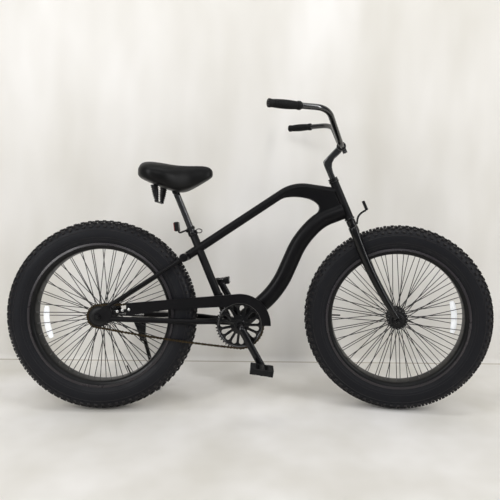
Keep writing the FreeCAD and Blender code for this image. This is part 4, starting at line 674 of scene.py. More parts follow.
def makeSpokes(where, centre, firstHole):
    # pairs of spokes that open from the flange to the rim, with a head and a nipple on each
    bm = bmesh.new()
    seats = bmesh.new()
    for side, _ in sides:
        shift = firstHole + (spokes["farShift"] if side > 0 else 0)
        for number in range(spokes["pairs"]):
            for lean in (1, -1):
                hole = shift + number * 360 / spokes["pairs"]
                rimHole = math.radians(hole + lean * spokes["sweep"])
                flange = side * (spokes["flange"] + lean * spokes["lace"])
                bed = side * (spokes["bedOffset"] + lean * spokes["bedLace"])
                start = wheelPoint(centre, math.radians(hole), spokes["flangeHole"], flange)
                end = wheelPoint(centre, rimHole, spokes["bed"], bed)
                sweep(bm, [start, end], spokes["radius"], 6)
                along = (end - start).normalized()
                outward = sideways * side * lean
                latheInto(seats, spokes["nipple"], end - along * 12.4 * mm, along, 8, False)
                latheInto(seats, spokes["spokeHead"], start + outward * 0.9 * mm, outward, 8, False)
    body = f"{where}_wheel"
    finishPiece(f"{where}Spokes", bm, "darkSpoke", body, (f"{where}_spokes",), 60)
    finishPiece(f"{where}Nipples", seats, "nippleSteel", body, (), 50)


# half of each hub, from its axle bore out to the locknut and in over the flange
hubEnd = [(6, 5.6), (62, 5.6), (65.6, 9), (66, 11.5), (63, 12)]
hubShapes = {
    "front": hubEnd + [
        (62, 19), (58, 20), (44, 19), (39, 22), (36, 30), (35, 40), (34.2, 41), (31.8, 41), (31, 40),
        (29, 26), (24, 19), (8, 17),
    ],
    "rear": hubEnd + [
        (62, 19.5), (58, 20), (44, 20), (38, 25), (35.4, 33), (35, 40), (34.2, 41), (31.8, 41), (31, 40),
        (28, 33), (20, 31), (6, 31),
    ],
}


def makeHub(where, centre):
    profile = hubShapes[where] + mirrored(hubShapes[where])
    lathe(f"{where}Hub", profile, centre, sideways, "hubPaint", f"{where}_wheel", (f"{where}_hub",), 72)


wheelReflector = {
    "radius": 226,
    "half": 11,
    "halfDepth": 4.2,
    "span": 33,
    "steps": 28,
    # its section: share of the half height, share of the half depth
    "section": [
        (-1, -0.6), (-0.8, -1), (-0.08, -1), (0, -0.75), (0.08, -1), (0.8, -1), (1, -0.6), (1, 0.6),
        (0.8, 1), (-0.8, 1), (-1, 0.6),
    ],
}


def makeWheelReflector(where, centre, angle):
    # a shallow tray with two rows of prisms, clipped between the spokes
    bm = bmesh.new()
    rings = []
    for number in range(wheelReflector["steps"] + 1):
        share = number / wheelReflector["steps"]
        turn = math.radians(angle) + math.radians(wheelReflector["span"]) * (share - 0.5)
        half = wheelReflector["half"] * (1 - 0.35 * abs(share * 2 - 1) ** 6)
        rings.append([
            bm.verts.new(wheelPoint(
                centre, turn, wheelReflector["radius"] + out * half, side * wheelReflector["halfDepth"],
            ))
            for out, side in wheelReflector["section"]
        ])
    skin(bm, rings)
    stands = (f"{where}_wheel_reflector",)
    finishPiece(f"{where}WheelReflector", bm, "whiteLens", f"{where}_wheel", stands)


for where, settings in wheels.items():
    makeTyre(where, settings["centre"])
    makeRim(where, settings["centre"])
    makeSpokes(where, settings["centre"], settings["firstHole"])
    makeHub(where, settings["centre"])
    makeWheelReflector(where, settings["centre"], settings["reflectorAngle"])
print("wheels made")


# Frame tubes

mainTubes = {
    # side view of each line's corners; the last one is on the head tube: reach ahead, height along
    "topLine": [(334, 616.3), (757, 905)],
    "topEnd": (-13, 569),
    "topReach": 58,
    "topRadius": 17.5,
    "downLine": [(566, 365.6), (698, 483), (783, 682), (862, 770)],
    "downEnd": (-12, 486),
    "downHeight": 34,
    "downFlat": 28 / 34,
    "headLow": 450,
    "headHigh": 603,
    "headRadius": 18,
    "cup": [(-8.8, 15.8), (-8.8, 18.5), (-7, 20.6), (-3, 21), (-0.6, 19), (-0.4, 15.8)],
}


def makeMainTubes():
    line = inPlane(mainTubes["topLine"]) + [onHead(*mainTubes["topEnd"])]
    line = roundCorners(line, [mainTubes["topReach"]], steps=16)
    tube("topTube", line, mainTubes["topRadius"], "framePaint", "frame", ("top_tube",), sides=32)
    line = roundCorners(inPlane(mainTubes["downLine"]) + [onHead(*mainTubes["downEnd"])], steps=14)
    wide, flat = mainTubes["downHeight"], mainTubes["downFlat"]
    tube("downTube", line, wide, "framePaint", "frame", ("down_tube",), sides=36, flat=flat)
    low, high, radius = mainTubes["headLow"], mainTubes["headHigh"], mainTubes["headRadius"]
    profile = [(0, radius - 2.5), (0, radius), (high - low, radius), (high - low, radius - 2.5)]
    lathe("headTube", profile, onHead(0, low), headUp, "framePaint", "frame", ("head_tube",))
    bm = bmesh.new()
    latheInto(bm, mainTubes["cup"], onHead(0, low), headUp)
    latheInto(bm, mirrored(mainTubes["cup"]), onHead(0, high), headUp)
    finishPiece("headsetCups", bm, "glossPaint", "frame", ("headset_cups",))


web = {
    "half": 15.5,
    "soft": 5,
    "window": [
        (700, 846), (722, 857), (756, 860.6), (788, 859.3), (820.5, 853), (844, 841.8), (858, 828.3),
        (861.5, 816.5), (857.5, 803), (845, 790.2), (831, 779.3), (812, 762),
    ],
    "downTube": [(872, 764)],
    "headTube": [(-15.5, 486), (-15.5, 569)],
    "topTube": [(850, 893), (757, 904), (722, 881)],
}


def makeWeb():
    # the pressed gusset that fills the corner between the tubes, up to its round window
    outline = roundCorners(inPlane(web["window"]), steps=4) + inPlane(web["downTube"])
    outline += [onHead(*spot) for spot in web["headTube"]] + inPlane(web["topTube"])
    slab("headWeb", outline, web["half"], "framePaint", "frame", ("head_web",), web["soft"])


seatTube = {
    "low": 367,
    "high": 716,
    "radius": 15.9,
    "collar": [(-9, 16.2), (-9, 18.9), (-8, 19.5), (6.6, 19.5), (7.6, 18.9), (7.6, 16.2)],
    "ear": (9, 6, 13),
    "bolt": [(-15, 3.6), (-14, 4.2), (-10, 4.2), (-9.6, 2.6), (12, 2.6), (12.4, 4.6), (15, 4.2)],
    # a wire loop on the collar's right: middle, half length, half height
    "loop": ((379.4, 716.8), 12, 8),
    "loopSide": -20,
}


def makeSeatTube():
    start, end = onSeatTube(seatTube["low"]), onSeatTube(seatTube["high"])
    length, wide = (end - start).length / mm, seatTube["radius"]
    profile = [(0, wide - 2.2), (0, wide - 0.2), (1, wide), (length - 1, wide), (length, wide - 0.8)]
    profile += [(length, wide - 2.2)]
    lathe("seatTube", profile, start, seatUp, "framePaint", "frame", ("seat_tube",), 40)
    bm = bmesh.new()
    middle = onSeatTube(seatTube["high"] - 9)
    latheInto(bm, seatTube["collar"], middle, seatUp, 40)
    tilt = Matrix.Rotation(seat - math.pi / 2, 3, "Y").transposed()
    back = tilt @ Vector((-1, 0, 0))
    for side in (1, -1):
        addBox(bm, middle + (back * 22 + sideways * side * 4.5) * mm, seatTube["ear"], tilt)
    latheInto(bm, seatTube["bolt"], middle + back * 23.4 * mm, sideways, 16, False)
    (x, z), long, high = seatTube["loop"]
    turns = [math.pi * step / 14 for step in range(29)]
    loop = [at(x + long * math.cos(turn), seatTube["loopSide"], z + high * math.sin(turn)) for turn in turns]
    sweep(bm, loop, 1.9, 8)
    sweep(bm, [at(368.5, seatTube["loopSide"], z), at(362, -12, 714)], 2.2, 8)
    finishPiece("seatCollar", bm, "glossPaint", "frame", ("seat_collar",))


# half of the shell's cup and sleeve, from the outer end inward
shellHalf = [(-50, 17.4), (-50, 21), (-48.5, 22.4), (-44, 22.4), (-44, 24)]


def makeBottomBracket():
    lathe("crankShell", shellHalf + mirrored(shellHalf), crankAxle, sideways, "framePaint", "frame")


stays = {
    "yokeMiddle": (326, 611),
    "yoke": [(-80, 13.5), (-79, 15.7), (-77, 16.5)],
    "chainStay": [(50, 72, 368.8), (378, 70, 362), (440, 41, 359), (530, 39, 354.8)],
    "chainStayGrowth": (10.08, 12.32),
    "chainStayWidest": 11,
    "seatStay": [(36, 75, 417.3), (314, 70.2, 602.5)],
    "seatStayRadii": [5.5, 7.6, 8, 8],
}


def makeStays():
    profile = stays["yoke"] + mirrored(stays["yoke"])
    middle = inPlane([stays["yokeMiddle"]])[0]
    lathe("stayYoke", profile, middle, sideways, "framePaint", "frame", ("stay_yoke",), 40, False)
    for side, name in sides:
        line = roundCorners([at(x, side * y, z) for x, y, z in stays["chainStay"]])
        radii = [min(radius, stays["chainStayWidest"]) for radius in spread(line, *stays["chainStayGrowth"])]
        tube(f"chainStay_{name}", line, radii, "framePaint", "frame", (f"chain_stay_{name}",))
        low, high = [at(x, side * y, z) for x, y, z in stays["seatStay"]]
        line = [low, low.lerp(high, 0.04), low.lerp(high, 0.5), high]
        tube(f"seatStay_{name}", line, stays["seatStayRadii"], "framePaint", "frame", (f"seat_stay_{name}",))


makeMainTubes()
makeWeb()
makeSeatTube()
makeBottomBracket()
makeStays()
print("frame made")


# Fork, stem and bar

fork = {
    "crownLow": 386,
    "crownHeight": 30,
    "crownDepth": 38,
    "crownSoft": 7,
    "race": [(0, 18), (10, 18.6), (22, 18.6), (24.6, 16)],
    "steerer": [(0, 12.6), (208, 12.6), (213, 12), (213.6, 9)],
    "legOffset": 73,
    "footOffset": 72,
    "legTop": 17.6,
    "legFoot": 11,
    "legFlat": 0.8,
    # reach ahead and height along, from the crown down
    "bends": [(-4, 330), (-5, 262), (-2, 200), (2.5, 140), (8, 90), (14.5, 48)],
    "dropout": (20, 6, 26),
    "dropoutRing": [(-3, 5.2), (-3, 12.6), (-2, 13.6)],
    "locknut": [
        (0, 13.2), (0, 19), (1.2, 20.8), (3.4, 20.8), (4, 17.6), (6, 17.6), (6.6, 20), (9.8, 20), (11, 18.6),
        (11, 13.2),
    ],
}


def makeForkLeg(side, name):
    # a flattened leg that curves forward to the axle, with its dropout
    offset = side * fork["legOffset"]
    foot = side * fork["footOffset"]
    spots = [onHead(*spot, offset) for spot in [(0, 408)] + fork["bends"]] + [onHead(20, 14, foot)]
    line = [onHead(0, 414.5, offset), onHead(0, 412.5, offset)] + roundCorners(spots, steps=4)
    growth = fork["legFoot"] - fork["legTop"]
    radii = [fork["legTop"] + growth * share ** 2.4 for share in spread(line, 0, 1)]
    radii[:2] = [11, 15.5]
    bm = bmesh.new()
    sweep(bm, line, radii, 28, fork["legFlat"])
    ring = fork["dropoutRing"] + mirrored(fork["dropoutRing"])
    latheInto(bm, ring, frontAxle + sideways * foot * mm, sideways, 32)
    addBox(bm, onHead(20, 12, foot), fork["dropout"], headTilt)
    finishPiece(f"forkLeg_{name}", bm, "glossPaint", "fork", (f"fork_leg_{name}",))


def makeFork():
    bm = bmesh.new()
    size = (fork["crownDepth"], 2 * fork["legOffset"], fork["crownHeight"])
    addBox(bm, onHead(0, fork["crownLow"] + fork["crownHeight"] / 2), size, headTilt)
    softEdges(finishPiece("forkCrown", bm, "glossPaint", "fork", ("fork_crown",)), fork["crownSoft"], 4)
    lathe("crownRace", fork["race"], onHead(0, 415.5), headUp, "glossPaint", "fork", (), 40, False)
    lathe("steererTube", fork["steerer"], onHead(0, 410), headUp, "glossPaint", "fork", (), 32, False)
    for side, name in sides:
        makeForkLeg(side, name)
    nut = onHead(0, 612.4)
    lathe("headsetLocknut", fork["locknut"], nut, headUp, "glossPaint", "fork", ("headset_locknut",), 40)


stem = {
    "neck": [
        (-12, 622), (-12, 680), (-9.5, 700), (23, 715), (64, 732), (80, 742), (88, 718), (70, 704),
        (38, 692.5), (23, 681), (15, 664), (12, 644), (12, 622),
    ],
    "neckHalf": 11,
    "quill": [(0, 621), (0, 668)],
    "quillRadius": 12,
    "clampSpot": (81, 726),
    "clamp": [(-22, 11.5), (-22, 17), (-20.5, 19)],
    "earSpot": (86, 705.5),
    "ear": (18, 8, 20),
    "boltSpot": (87, 700),
    "bolt": [(-14, 3.6), (-13, 5.2), (-10.4, 5.2), (-10.4, 3), (10.4, 3), (10.4, 5.2), (14, 4.6)],
    "topBolt": [(0, 5), (3, 5), (4, 4)],
}


def makeStem():
    # a gooseneck: the quill turns sharply forward, with a plain corner behind, up to the bar clamp
    neck = [onHead(*spot) for spot in stem["neck"]]
    slab("stemNeck", neck, stem["neckHalf"], "polishedPaint", "fork", ("stem",), 5.5)
    bm = bmesh.new()
    sweep(bm, [onHead(*spot) for spot in stem["quill"]], stem["quillRadius"], 28)
    latheInto(bm, stem["clamp"] + mirrored(stem["clamp"]), onHead(*stem["clampSpot"]), sideways, 40)
    for side in (1, -1):
        addBox(bm, onHead(*stem["earSpot"], side * 6), stem["ear"], headTilt)
    latheInto(bm, stem["bolt"], onHead(*stem["boltSpot"]), sideways, 18, False)
    softEdges(finishPiece("stem", bm, "polishedPaint", "fork", (), 35), 2.2, 3)
    lathe("stemBolt", stem["topBolt"], onHead(0, 697), headUp, "brightSteel", "fork", (), 6, False)


bar = {
    "radius": 11.1,
    "clampHalf": 52,
    "bend": (898, 243, 1181),
    "end": (700, 366, 1181),
    "reaches": [48, 28, 28, 48],
}
grip = {
    "endCap": [(-2.2, 6), (-2.4, 13.4), (-1, 15.2), (4, 15.6), (7, 15.3), (10, 14.2)],
    "ribs": 17,
    "ribStart": 14,
    "ribStep": 5.4,
    "rib": [(0, 0), (3.2, 0), (3.9, -0.9), (4.8, -0.9)],
    "radius": 14.2,
    "swell": 2.0,
    "ring": [(108, 14.2), (110, 15.6), (115, 16), (120, 15.6), (122, 14), (124.6, 13), (124.8, 11.6)],
    "bore": [(20, 11.5), (0.6, 11.5), (0.3, 6)],
}


def gripProfile():
    # a round end, ribs that swell in the middle, and a ring where the hand stops
    ribs = []
    for number in range(grip["ribs"]):
        swell = grip["radius"] + grip["swell"] * math.sin(math.pi * (number + 0.5) / grip["ribs"])
        start = grip["ribStart"] + number * grip["ribStep"]
        ribs += [(start + along, swell + out) for along, out in grip["rib"]]
    return grip["endCap"] + ribs + grip["ring"] + grip["bore"]


def makeBar():
    clamp = onHead(*stem["clampSpot"])
    half = [Vector((clamp.x, bar["clampHalf"] * mm, clamp.z)), at(*bar["bend"]), at(*bar["end"])]
    spots = [Vector((spot.x, -spot.y, spot.z)) for spot in reversed(half)] + half
    line = roundCorners(spots, bar["reaches"], steps=14)
    tube("handlebar", line, bar["radius"], "polishedPaint", "fork", ("handlebar",), sides=28, lead=upright)
    for (_, name), end, bend in zip(sides, (spots[-1], spots[0]), (spots[-2], spots[1])):
        stands = (f"grip_{name}",)
        lathe(f"grip_{name}", gripProfile(), end, bend - end, "gripRubber", "fork", stands, 40)


frontReflector = {
    "spot": (77, 471),
    "housing": (11.6, 50, 40),
    "lens": (1.4, 43, 33),
    "lensAhead": 5.2,
    "arm": [(19, 414), (33, 440), (53, 450), (73, 452)],
    "armReaches": [12, 10],
    "armRadius": 4,
}


def makeFrontReflector():
    lamp = onHead(*frontReflector["spot"])
    glass = lamp + headForward * frontReflector["lensAhead"] * mm
    size = frontReflector["housing"]
    block("frontReflectorHousing", lamp, size, "housingPlastic", "fork", ("front_reflector",), headTilt, 3)
    block("frontReflectorLens", glass, frontReflector["lens"], "clearLens", "fork", (), headTilt, 0.5)
    arm = roundCorners([onHead(*spot) for spot in frontReflector["arm"]], frontReflector["armReaches"])
    stands = ("front_reflector_bracket",)
    tube("frontReflectorArm", arm, frontReflector["armRadius"], "bracketPlastic", "fork", stands, sides=14)


makeFork()
makeStem()
makeBar()
makeFrontReflector()
print("fork and bar made")


# Saddle

saddleShape = {
    "rear": 138,
    "nose": 430,
    "dip": 3.5,
    "fill": 0.8,
    # share of the length from the rear, half width, top, side height where the cover turns under, underside
    "stations": [
        (0.00, 40, 958, 948, 930),
        (0.03, 80, 977, 951, 921),
        (0.09, 104, 985.5, 950, 912),
        (0.18, 121, 987, 946, 902),
        (0.29, 123, 984, 940, 889),
        (0.40, 113, 979.5, 934, 878),
        (0.51, 92, 976, 929, 870.5),
        (0.60, 71, 975, 926, 869),
        (0.72, 50, 976, 929, 883),
        (0.84, 40, 977.5, 935, 904),
        (0.93, 31, 975, 941, 920),
        (0.98, 21, 966, 945, 930),
        (1.00, 9, 955, 947, 938),
    ],
}


def makeSaddle():
    bm = bmesh.new()
    rings = []
    for share, half, top, side, low in saddleShape["stations"]:
        x = saddleShape["rear"] + share * (saddleShape["nose"] - saddleShape["rear"])
        dip = saddleShape["dip"] * math.sin(math.pi * min(max((share - 0.05) / 0.9, 0), 1))
        section = [
            (0, top - dip), (0.3, top - dip * 0.4), (0.62, top - 2), (0.86, top - 9 - (top - side) * 0.2),
            (0.98, side + 6), (1.0, side - 8), (0.97, low + (side - low) * 0.4), (0.88, low + 5),
            (0.5, low + 1), (0, low),
        ]
        ring = [bm.verts.new(at(x, half * across, z)) for across, z in section]
        ring += [bm.verts.new(at(x, -half * across, z)) for across, z in reversed(section[1:-1])]
        rings.append(ring)
    skin(bm, rings)
    saddle = finishPiece("saddle", bm, "saddleVinyl", "frame", ("saddle",), 180)
    rounder = saddle.modifiers.new("rounder", "SUBSURF")
    rounder.levels = 2
    rounder.render_levels = 2


springs = {
    "foot": {"left": (219, 44, 827), "right": (215, -44, 829)},
    "top": {"left": (226, 44, 893), "right": (205, -44, 893)},
    "wide": 13.6,
    "narrow": 6.2,
    "wire": 1.9,
    "turns": 7,
}


def makeSprings():
    # a coil each side that widens upward, round a dark rubber cone
    narrow, growth = springs["narrow"], springs["wide"] - springs["narrow"]
    for side, name in sides:
        foot, top = at(*springs["foot"][name]), at(*springs["top"][name])
        along = (top - foot).normalized()
        length = (top - foot).length / mm
        across = (Vector((1, 0, 0)) - along * along.x).normalized()
        up = along.cross(across)
        bm = bmesh.new()
        line = []
        steps = 22 * springs["turns"]
        for number in range(steps + 1):
            share = number / steps
            angle = 2 * math.pi * springs["turns"] * share * side
            wide = narrow + growth * math.sin(math.pi / 2 * share) ** 0.75
            offset = across * math.cos(angle) + up * math.sin(angle)
            line.append(foot.lerp(top, 0.04 + 0.92 * share) + offset * wide * mm)
        sweep(bm, line, springs["wire"], 8)
        cone = [(-1, 3), (-1, 8), (4, 8.2), (8, 6.5), (length * 0.5, 11), (length, 12.6), (length + 2, 3)]
        cap = [(length - 4, 3), (length - 4, 14.4), (length + 3, 14.6), (length + 3, 3)]
        for profile in (cone, cap):
            latheInto(bm, profile, foot, along, 28, False)
        finishPiece(f"saddleSpring_{name}", bm, "springSteel", "frame", (f"saddle_spring_{name}",))


saddleFrame = {
    "clampHeight": 872,
    "clamp": [(12.5, 4), (15, 10), (17, 12), (24, 12), (26, 10), (26.4, 4)],
    "rail": 3.4,
    "tieBar": 3.2,
}


def makeSaddleFrame():
    # rails inside the cover with the clamp between them, and the bar that ties the springs' feet
    bm = bmesh.new()
    clamp = onSeatTube(saddleFrame["clampHeight"])
    x = clamp.x / mm
    for side, name in sides:
        top = springs["top"][name]
        spots = [(top[0], top[1] * 0.7, 903), (x - 30, side * 24, 886), (x + 20, side * 22, 888)]
        spots += [(376, side * 10, 908)]
        sweep(bm, roundCorners([at(*spot) for spot in spots]), saddleFrame["rail"], 14)
        latheInto(bm, saddleFrame["clamp"], clamp, sideways * side, 32, False)
    sweep(bm, [at(*springs["foot"][name]) for _, name in sides], saddleFrame["tieBar"], 12)
    finishPiece("saddleFrame", bm, "springSteel", "frame", ("saddle_frame",))


rearReflector = {
    "spot": (288, 0, 732),
    "tilt": 8,
    "housing": (16.5, 43.6, 37.6),
    "lens": (3, 38, 33),
}


def makeRearReflector():
    tilt = Matrix.Rotation(math.radians(rearReflector["tilt"]), 3, "Y").transposed()
    lamp = at(*rearReflector["spot"])
    forward = tilt @ Vector((1, 0, 0)) * mm
    size = rearReflector["housing"]
    stands = ("rear_reflector",)
    block("rearReflectorHousing", lamp + forward * 1.5, size, "housingPlastic", "frame", stands, tilt, 3)
    block("rearReflectorLens", lamp - forward * 8, rearReflector["lens"], "redLens", "frame", (), tilt, 1)


makeSaddle()
makeSprings()
makeSaddleFrame()
makeRearReflector()
print("saddle made")


# Drive

drive = {
    "pitch": 12.7,
    "ringTeeth": 46,
    "cogTeeth": 22,
    "line": -60,
    "sag": 6.5,
    "plateHeight": 4.6,
    "roller": [(-2.1, 3.4), (2.1, 3.4)],
    "pin": [(-3.4, 1.2), (-3.4, 1.9), (3.4, 1.9), (3.4, 1.2)],
}


def pitchRadius(teeth):
    return drive["pitch"] / (2 * math.sin(math.pi / teeth))


def chainLine():
    # the chain's run round both toothed wheels, with a slack lower run
    big, small = pitchRadius(drive["ringTeeth"]), pitchRadius(drive["cogTeeth"])
    between = crankAxle - rearAxle
    heading = math.atan2(between.z, between.x)
    openAngle = math.acos((big - small) / (between.length / mm))
    top, foot = heading + openAngle, heading - openAngle
    route = [wheelPoint(rearAxle, top, small, 0)]
    route += [wheelPoint(crankAxle, top + (foot - top) * step / 60, big, 0) for step in range(61)]
    away, back = route[-1], wheelPoint(rearAxle, foot, small, 0)
    for step in range(1, 12):
        share = step / 12
        route.append(away.lerp(back, share) - upright * 4 * share * (1 - share) * drive["sag"] * mm)
    wrap = 2 * math.pi - (top - foot)
    return route + [wheelPoint(rearAxle, foot - wrap * step / 60, small, 0) for step in range(61)]


def evenly(route, spacing):
    # an even number of points at an equal spacing along a closed route
    lengths = [(b - a).length for a, b in zip(route, route[1:])]
    total = sum(lengths)
    count = round(total / spacing)
    count += count % 2
    spots, passed, leg = [], 0.0, 0
    for number in range(count):
        target = total * number / count
        while passed + lengths[leg] < target:
            passed += lengths[leg]
            leg += 1
        spots.append(route[leg].lerp(route[leg + 1], (target - passed) / lengths[leg]))
    return spots


def linkPlate(bm, start, end, side, thick, high):
    # a figure-eight plate from pin to pin
    along = (end - start).normalized()
    up = along.cross(sideways)
    outline = []
    for spot, way in ((end, 1), (start, -1)):
        for step in range(5):
            angle = math.pi / 2 - math.pi * step / 4
            outline.append(spot + (along * math.cos(angle) + up * math.sin(angle)) * high * way)
        outline.append((start + end) / 2 - up * high * 0.6 * way)
    faces = (side - thick / 2, side + thick / 2)
    skin(bm, [[bm.verts.new(spot + sideways * face * mm) for spot in outline] for face in faces])


def makeChain():
    # outer and inner links in turn
    bm = bmesh.new()
    pins = evenly(chainLine(), drive["pitch"] * mm)
    middle = sideways * drive["line"] * mm
    high = drive["plateHeight"] * mm
    for number, (start, end) in enumerate(zip(pins, pins[1:] + pins[:1])):
        apart, thick, tall = (3.25, 0.65, high) if number % 2 else (2.55, 0.75, high * 0.84)
        for side in (-1, 1):
            linkPlate(bm, start + middle, end + middle, side * apart, thick, tall)
        latheInto(bm, drive["pin"], start + middle, sideways, 6, False)
        latheInto(bm, drive["roller"], start + middle, sideways, 8, False)
    finishPiece("chain", bm, "chainSteel", "frame", ("chain",), 35)


crank = {
    "angle": -60,
    "length": 175,
    "shoulder": 90,
    "tip": 100,
    "reaches": [22, 22],
    "radius": 8.8,
    "flat": 1.62,
    "eye": [(-7.5, 6), (-7.5, 12.5), (-6, 14)],
    "spindle": [(7, 6), (14, 6), (98, 5.9)],
    "cone": [(50.4, 11), (50.4, 19), (52, 21), (55, 21), (56, 15), (58, 14), (58, 10.5)],
}
crankTurn = math.radians(crank["angle"])
crankOut = Vector((math.cos(crankTurn), 0, math.sin(crankTurn))) * crank["length"] * mm


def makeCrank():
    # one bent bar: both arms and the axle, with an eye and a pedal spindle at each end
    shoulder, tip = sideways * crank["shoulder"] * mm, sideways * crank["tip"] * mm
    ends = (crankAxle - crankOut + tip, crankAxle + crankOut - tip)
    line = roundCorners([ends[0], crankAxle + shoulder, crankAxle - shoulder, ends[1]], crank["reaches"])
    bm = bmesh.new()
    sweep(bm, line, crank["radius"], 28, crank["flat"], upright)
    for spot, (side, _) in zip(ends, sides):
        latheInto(bm, crank["eye"] + mirrored(crank["eye"]), spot, sideways * side, 36, False)
        latheInto(bm, crank["spindle"], spot, sideways * side, 20, False)
    for side, corners in ((1, 6), (-1, 36)):
        latheInto(bm, crank["cone"], crankAxle, sideways * side, corners)
    finishPiece("crank", bm, "glossPaint", "crank", ("crank",))


def flatPlate(name, outlines, thick, edge, centre):
    # closed outlines in side view become one plate: the first is its rim, the others are openings
    curve = bpy.data.curves.new(name, "CURVE")
    curve.dimensions = "2D"
    curve.fill_mode = "BOTH"
    curve.extrude = (thick / 2 - edge) * mm
    curve.bevel_depth = edge * mm
    curve.bevel_resolution = 1
    curve.offset = -edge * mm
    for outline in outlines:
        spline = curve.splines.new("POLY")
        spline.points.add(len(outline) - 1)
        spline.use_cyclic_u = True
        for point, (x, z) in zip(spline.points, outline):
            point.co = (x * mm, z * mm, 0, 1)
    holder = bpy.data.objects.new(name, curve)
    scene.collection.objects.link(holder)
    bpy.context.view_layer.update()
    mesh = bpy.data.meshes.new_from_object(holder.evaluated_get(bpy.context.evaluated_depsgraph_get()))
    bpy.data.objects.remove(holder)
    bpy.data.curves.remove(curve)
    mesh.transform(Matrix.Translation(centre) @ Matrix.Rotation(math.pi / 2, 4, "X"))
    bm = bmesh.new()
    bm.from_mesh(mesh)
    bpy.data.meshes.remove(mesh)
    bmesh.ops.remove_doubles(bm, verts=bm.verts, dist=0.01 * mm)
    return bm


def toothedOutline(teeth, root, tip):
    outline = []
    for number in range(teeth):
        for share, radius in ((-0.5, root), (-0.3, root), (-0.12, tip), (0.12, tip), (0.3, root)):
            angle = 2 * math.pi * (number + share) / teeth
            outline.append((radius * math.cos(angle), radius * math.sin(angle)))
    return outline


chainring = {
    "root": 88.5,
    "tip": 95.5,
    "thick": 3.2,
    "edge": 0.7,
    "petals": 15,
    "petalInner": 37,
    "petalOuter": 77,
    "petalHalf": 9,
    "boss": [(-4, 11), (-4, 22), (5, 22), (6.5, 20), (6.5, 11)],
    "lip": [(0.5, 81.1), (3, 82.1), (4.6, 85.5), (4.2, 88.3), (2.8, 89.5), (0.5, 89.9)],
}


def petalOutline(angle):
    # a teardrop: a round end outside, a blunt point toward the axle
    half, inner = chainring["petalHalf"], chainring["petalInner"]
    middle = chainring["petalOuter"] - half
    turn = math.acos(half / (middle - inner))
    spots = [(inner, -2.4), (inner, 2.4)]
    for step in range(15):
        bend = (math.pi - turn) * (1 - 2 * step / 14)
        spots.append((middle + half * math.cos(bend), half * math.sin(bend)))
    cos, sin = math.cos(angle), math.sin(angle)
    return [(x * cos - y * sin, x * sin + y * cos) for x, y in spots]


def makeChainring():
    count = chainring["petals"]
    outlines = [toothedOutline(drive["ringTeeth"], chainring["root"], chainring["tip"])]
    outlines += [petalOutline(2 * math.pi * (number + 0.5) / count) for number in range(count)]
    centre = crankAxle + sideways * drive["line"] * mm
    bm = flatPlate("chainring", outlines, chainring["thick"], chainring["edge"], centre)
    latheInto(bm, chainring["boss"], centre, -sideways)
    finishPiece("chainring", bm, "glossPaint", "crank", ("chainring",), 30)
    lathe("chainringLip", chainring["lip"], centre, -sideways, "polishedPaint", "crank", (), 120, True, 60)


sprocket = {
    "aboveChain": 2.4,
    "toothHeight": 5.6,
    "thick": 2.6,
    "edge": 0.4,
    "disc": [(0.5, 8), (2, 33), (3.6, 31), (5, 24), (5.8, 14), (6, 8)],
}


def makeSprocket():
    # the small toothed wheel with a black domed dust disc over it
    tip = pitchRadius(drive["cogTeeth"]) + sprocket["aboveChain"]
    outline = toothedOutline(drive["cogTeeth"], tip - sprocket["toothHeight"], tip)
    centre = rearAxle + sideways * drive["line"] * mm
    bm = flatPlate("rearSprocket", [outline], sprocket["thick"], sprocket["edge"], centre)
    latheInto(bm, sprocket["disc"], centre, -sideways, 60)
    finishPiece("rearSprocket", bm, "hubPaint", "rear_wheel", ("rear_sprocket",), 30)


pedals = {
    "beyondTip": 60.5,
    "reach": {"left": 23, "right": 33},
    "tilt": 8,
    "rubber": (20, 93, 23),
    "rib": (21.6, 7, 25.4),
    "ribs": 7,
    "ribStep": 12.6,
    "barrel": [(-46.5, 6.8), (-46.5, 11), (-44, 12)],
    "lens": (0.9, 54, 14),
}


def makePedals():
    for side, name in sides:
        # the near pedal hangs nose down, the far one nose up and seen a little shorter
        tilt = Matrix.Rotation(math.radians(-pedals["tilt"] * side), 3, "Y")
        reach = pedals["reach"][name]
        body = f"pedal_{name}"
        centre = crankAxle - crankOut * side + sideways * side * (crank["tip"] + pedals["beyondTip"]) * mm
        bm = bmesh.new()
        for way in (-1, 1):
            addBox(bm, centre + tilt @ at(way * reach, 0, 0), pedals["rubber"], tilt)
            for row in range(pedals["ribs"]):
                across = (row - pedals["ribs"] // 2) * pedals["ribStep"]
                addBox(bm, centre + tilt @ at(way * reach, across, 0), pedals["rib"], tilt)
            addBox(bm, centre + at(0, way * 43, 0), (reach * 2, 7.6, 21.6), tilt)
        latheInto(bm, pedals["barrel"] + mirrored(pedals["barrel"]), centre, sideways, 28)
        softEdges(finishPiece(body, bm, "pedalRubber", body, (body,)), 2.2, 3)
        for way in (-1, 1):
            spot = centre + tilt @ at(way * (reach + 10.9), 0, 0)
            lens = f"pedalReflector_{name}_{way + 2}"
            block(lens, spot, pedals["lens"], "clearLens", body, (), tilt, 0.3)


guardScrew = {
    "spots": [(72, -68, 398), (92, -68, 402), (118, -71.2, 406)],
    "profile": [(0, 2.5), (-0.2, 5.4), (-1.8, 5.2), (-2.8, 3), (-2.9, 1)],
}


def makeGuardScrews():
    bm = bmesh.new()
    for spot in guardScrew["spots"]:
        latheInto(bm, guardScrew["profile"], at(*spot), sideways, 14, False)
    finishPiece("guardScrews", bm, "brightSteel", "frame")


makeChain()
makeChainring()
makeSprocket()
makeCrank()
makePedals()
makeGuardScrews()
print("drive made")


# Pieces that keep the solids' own shape, by their finish

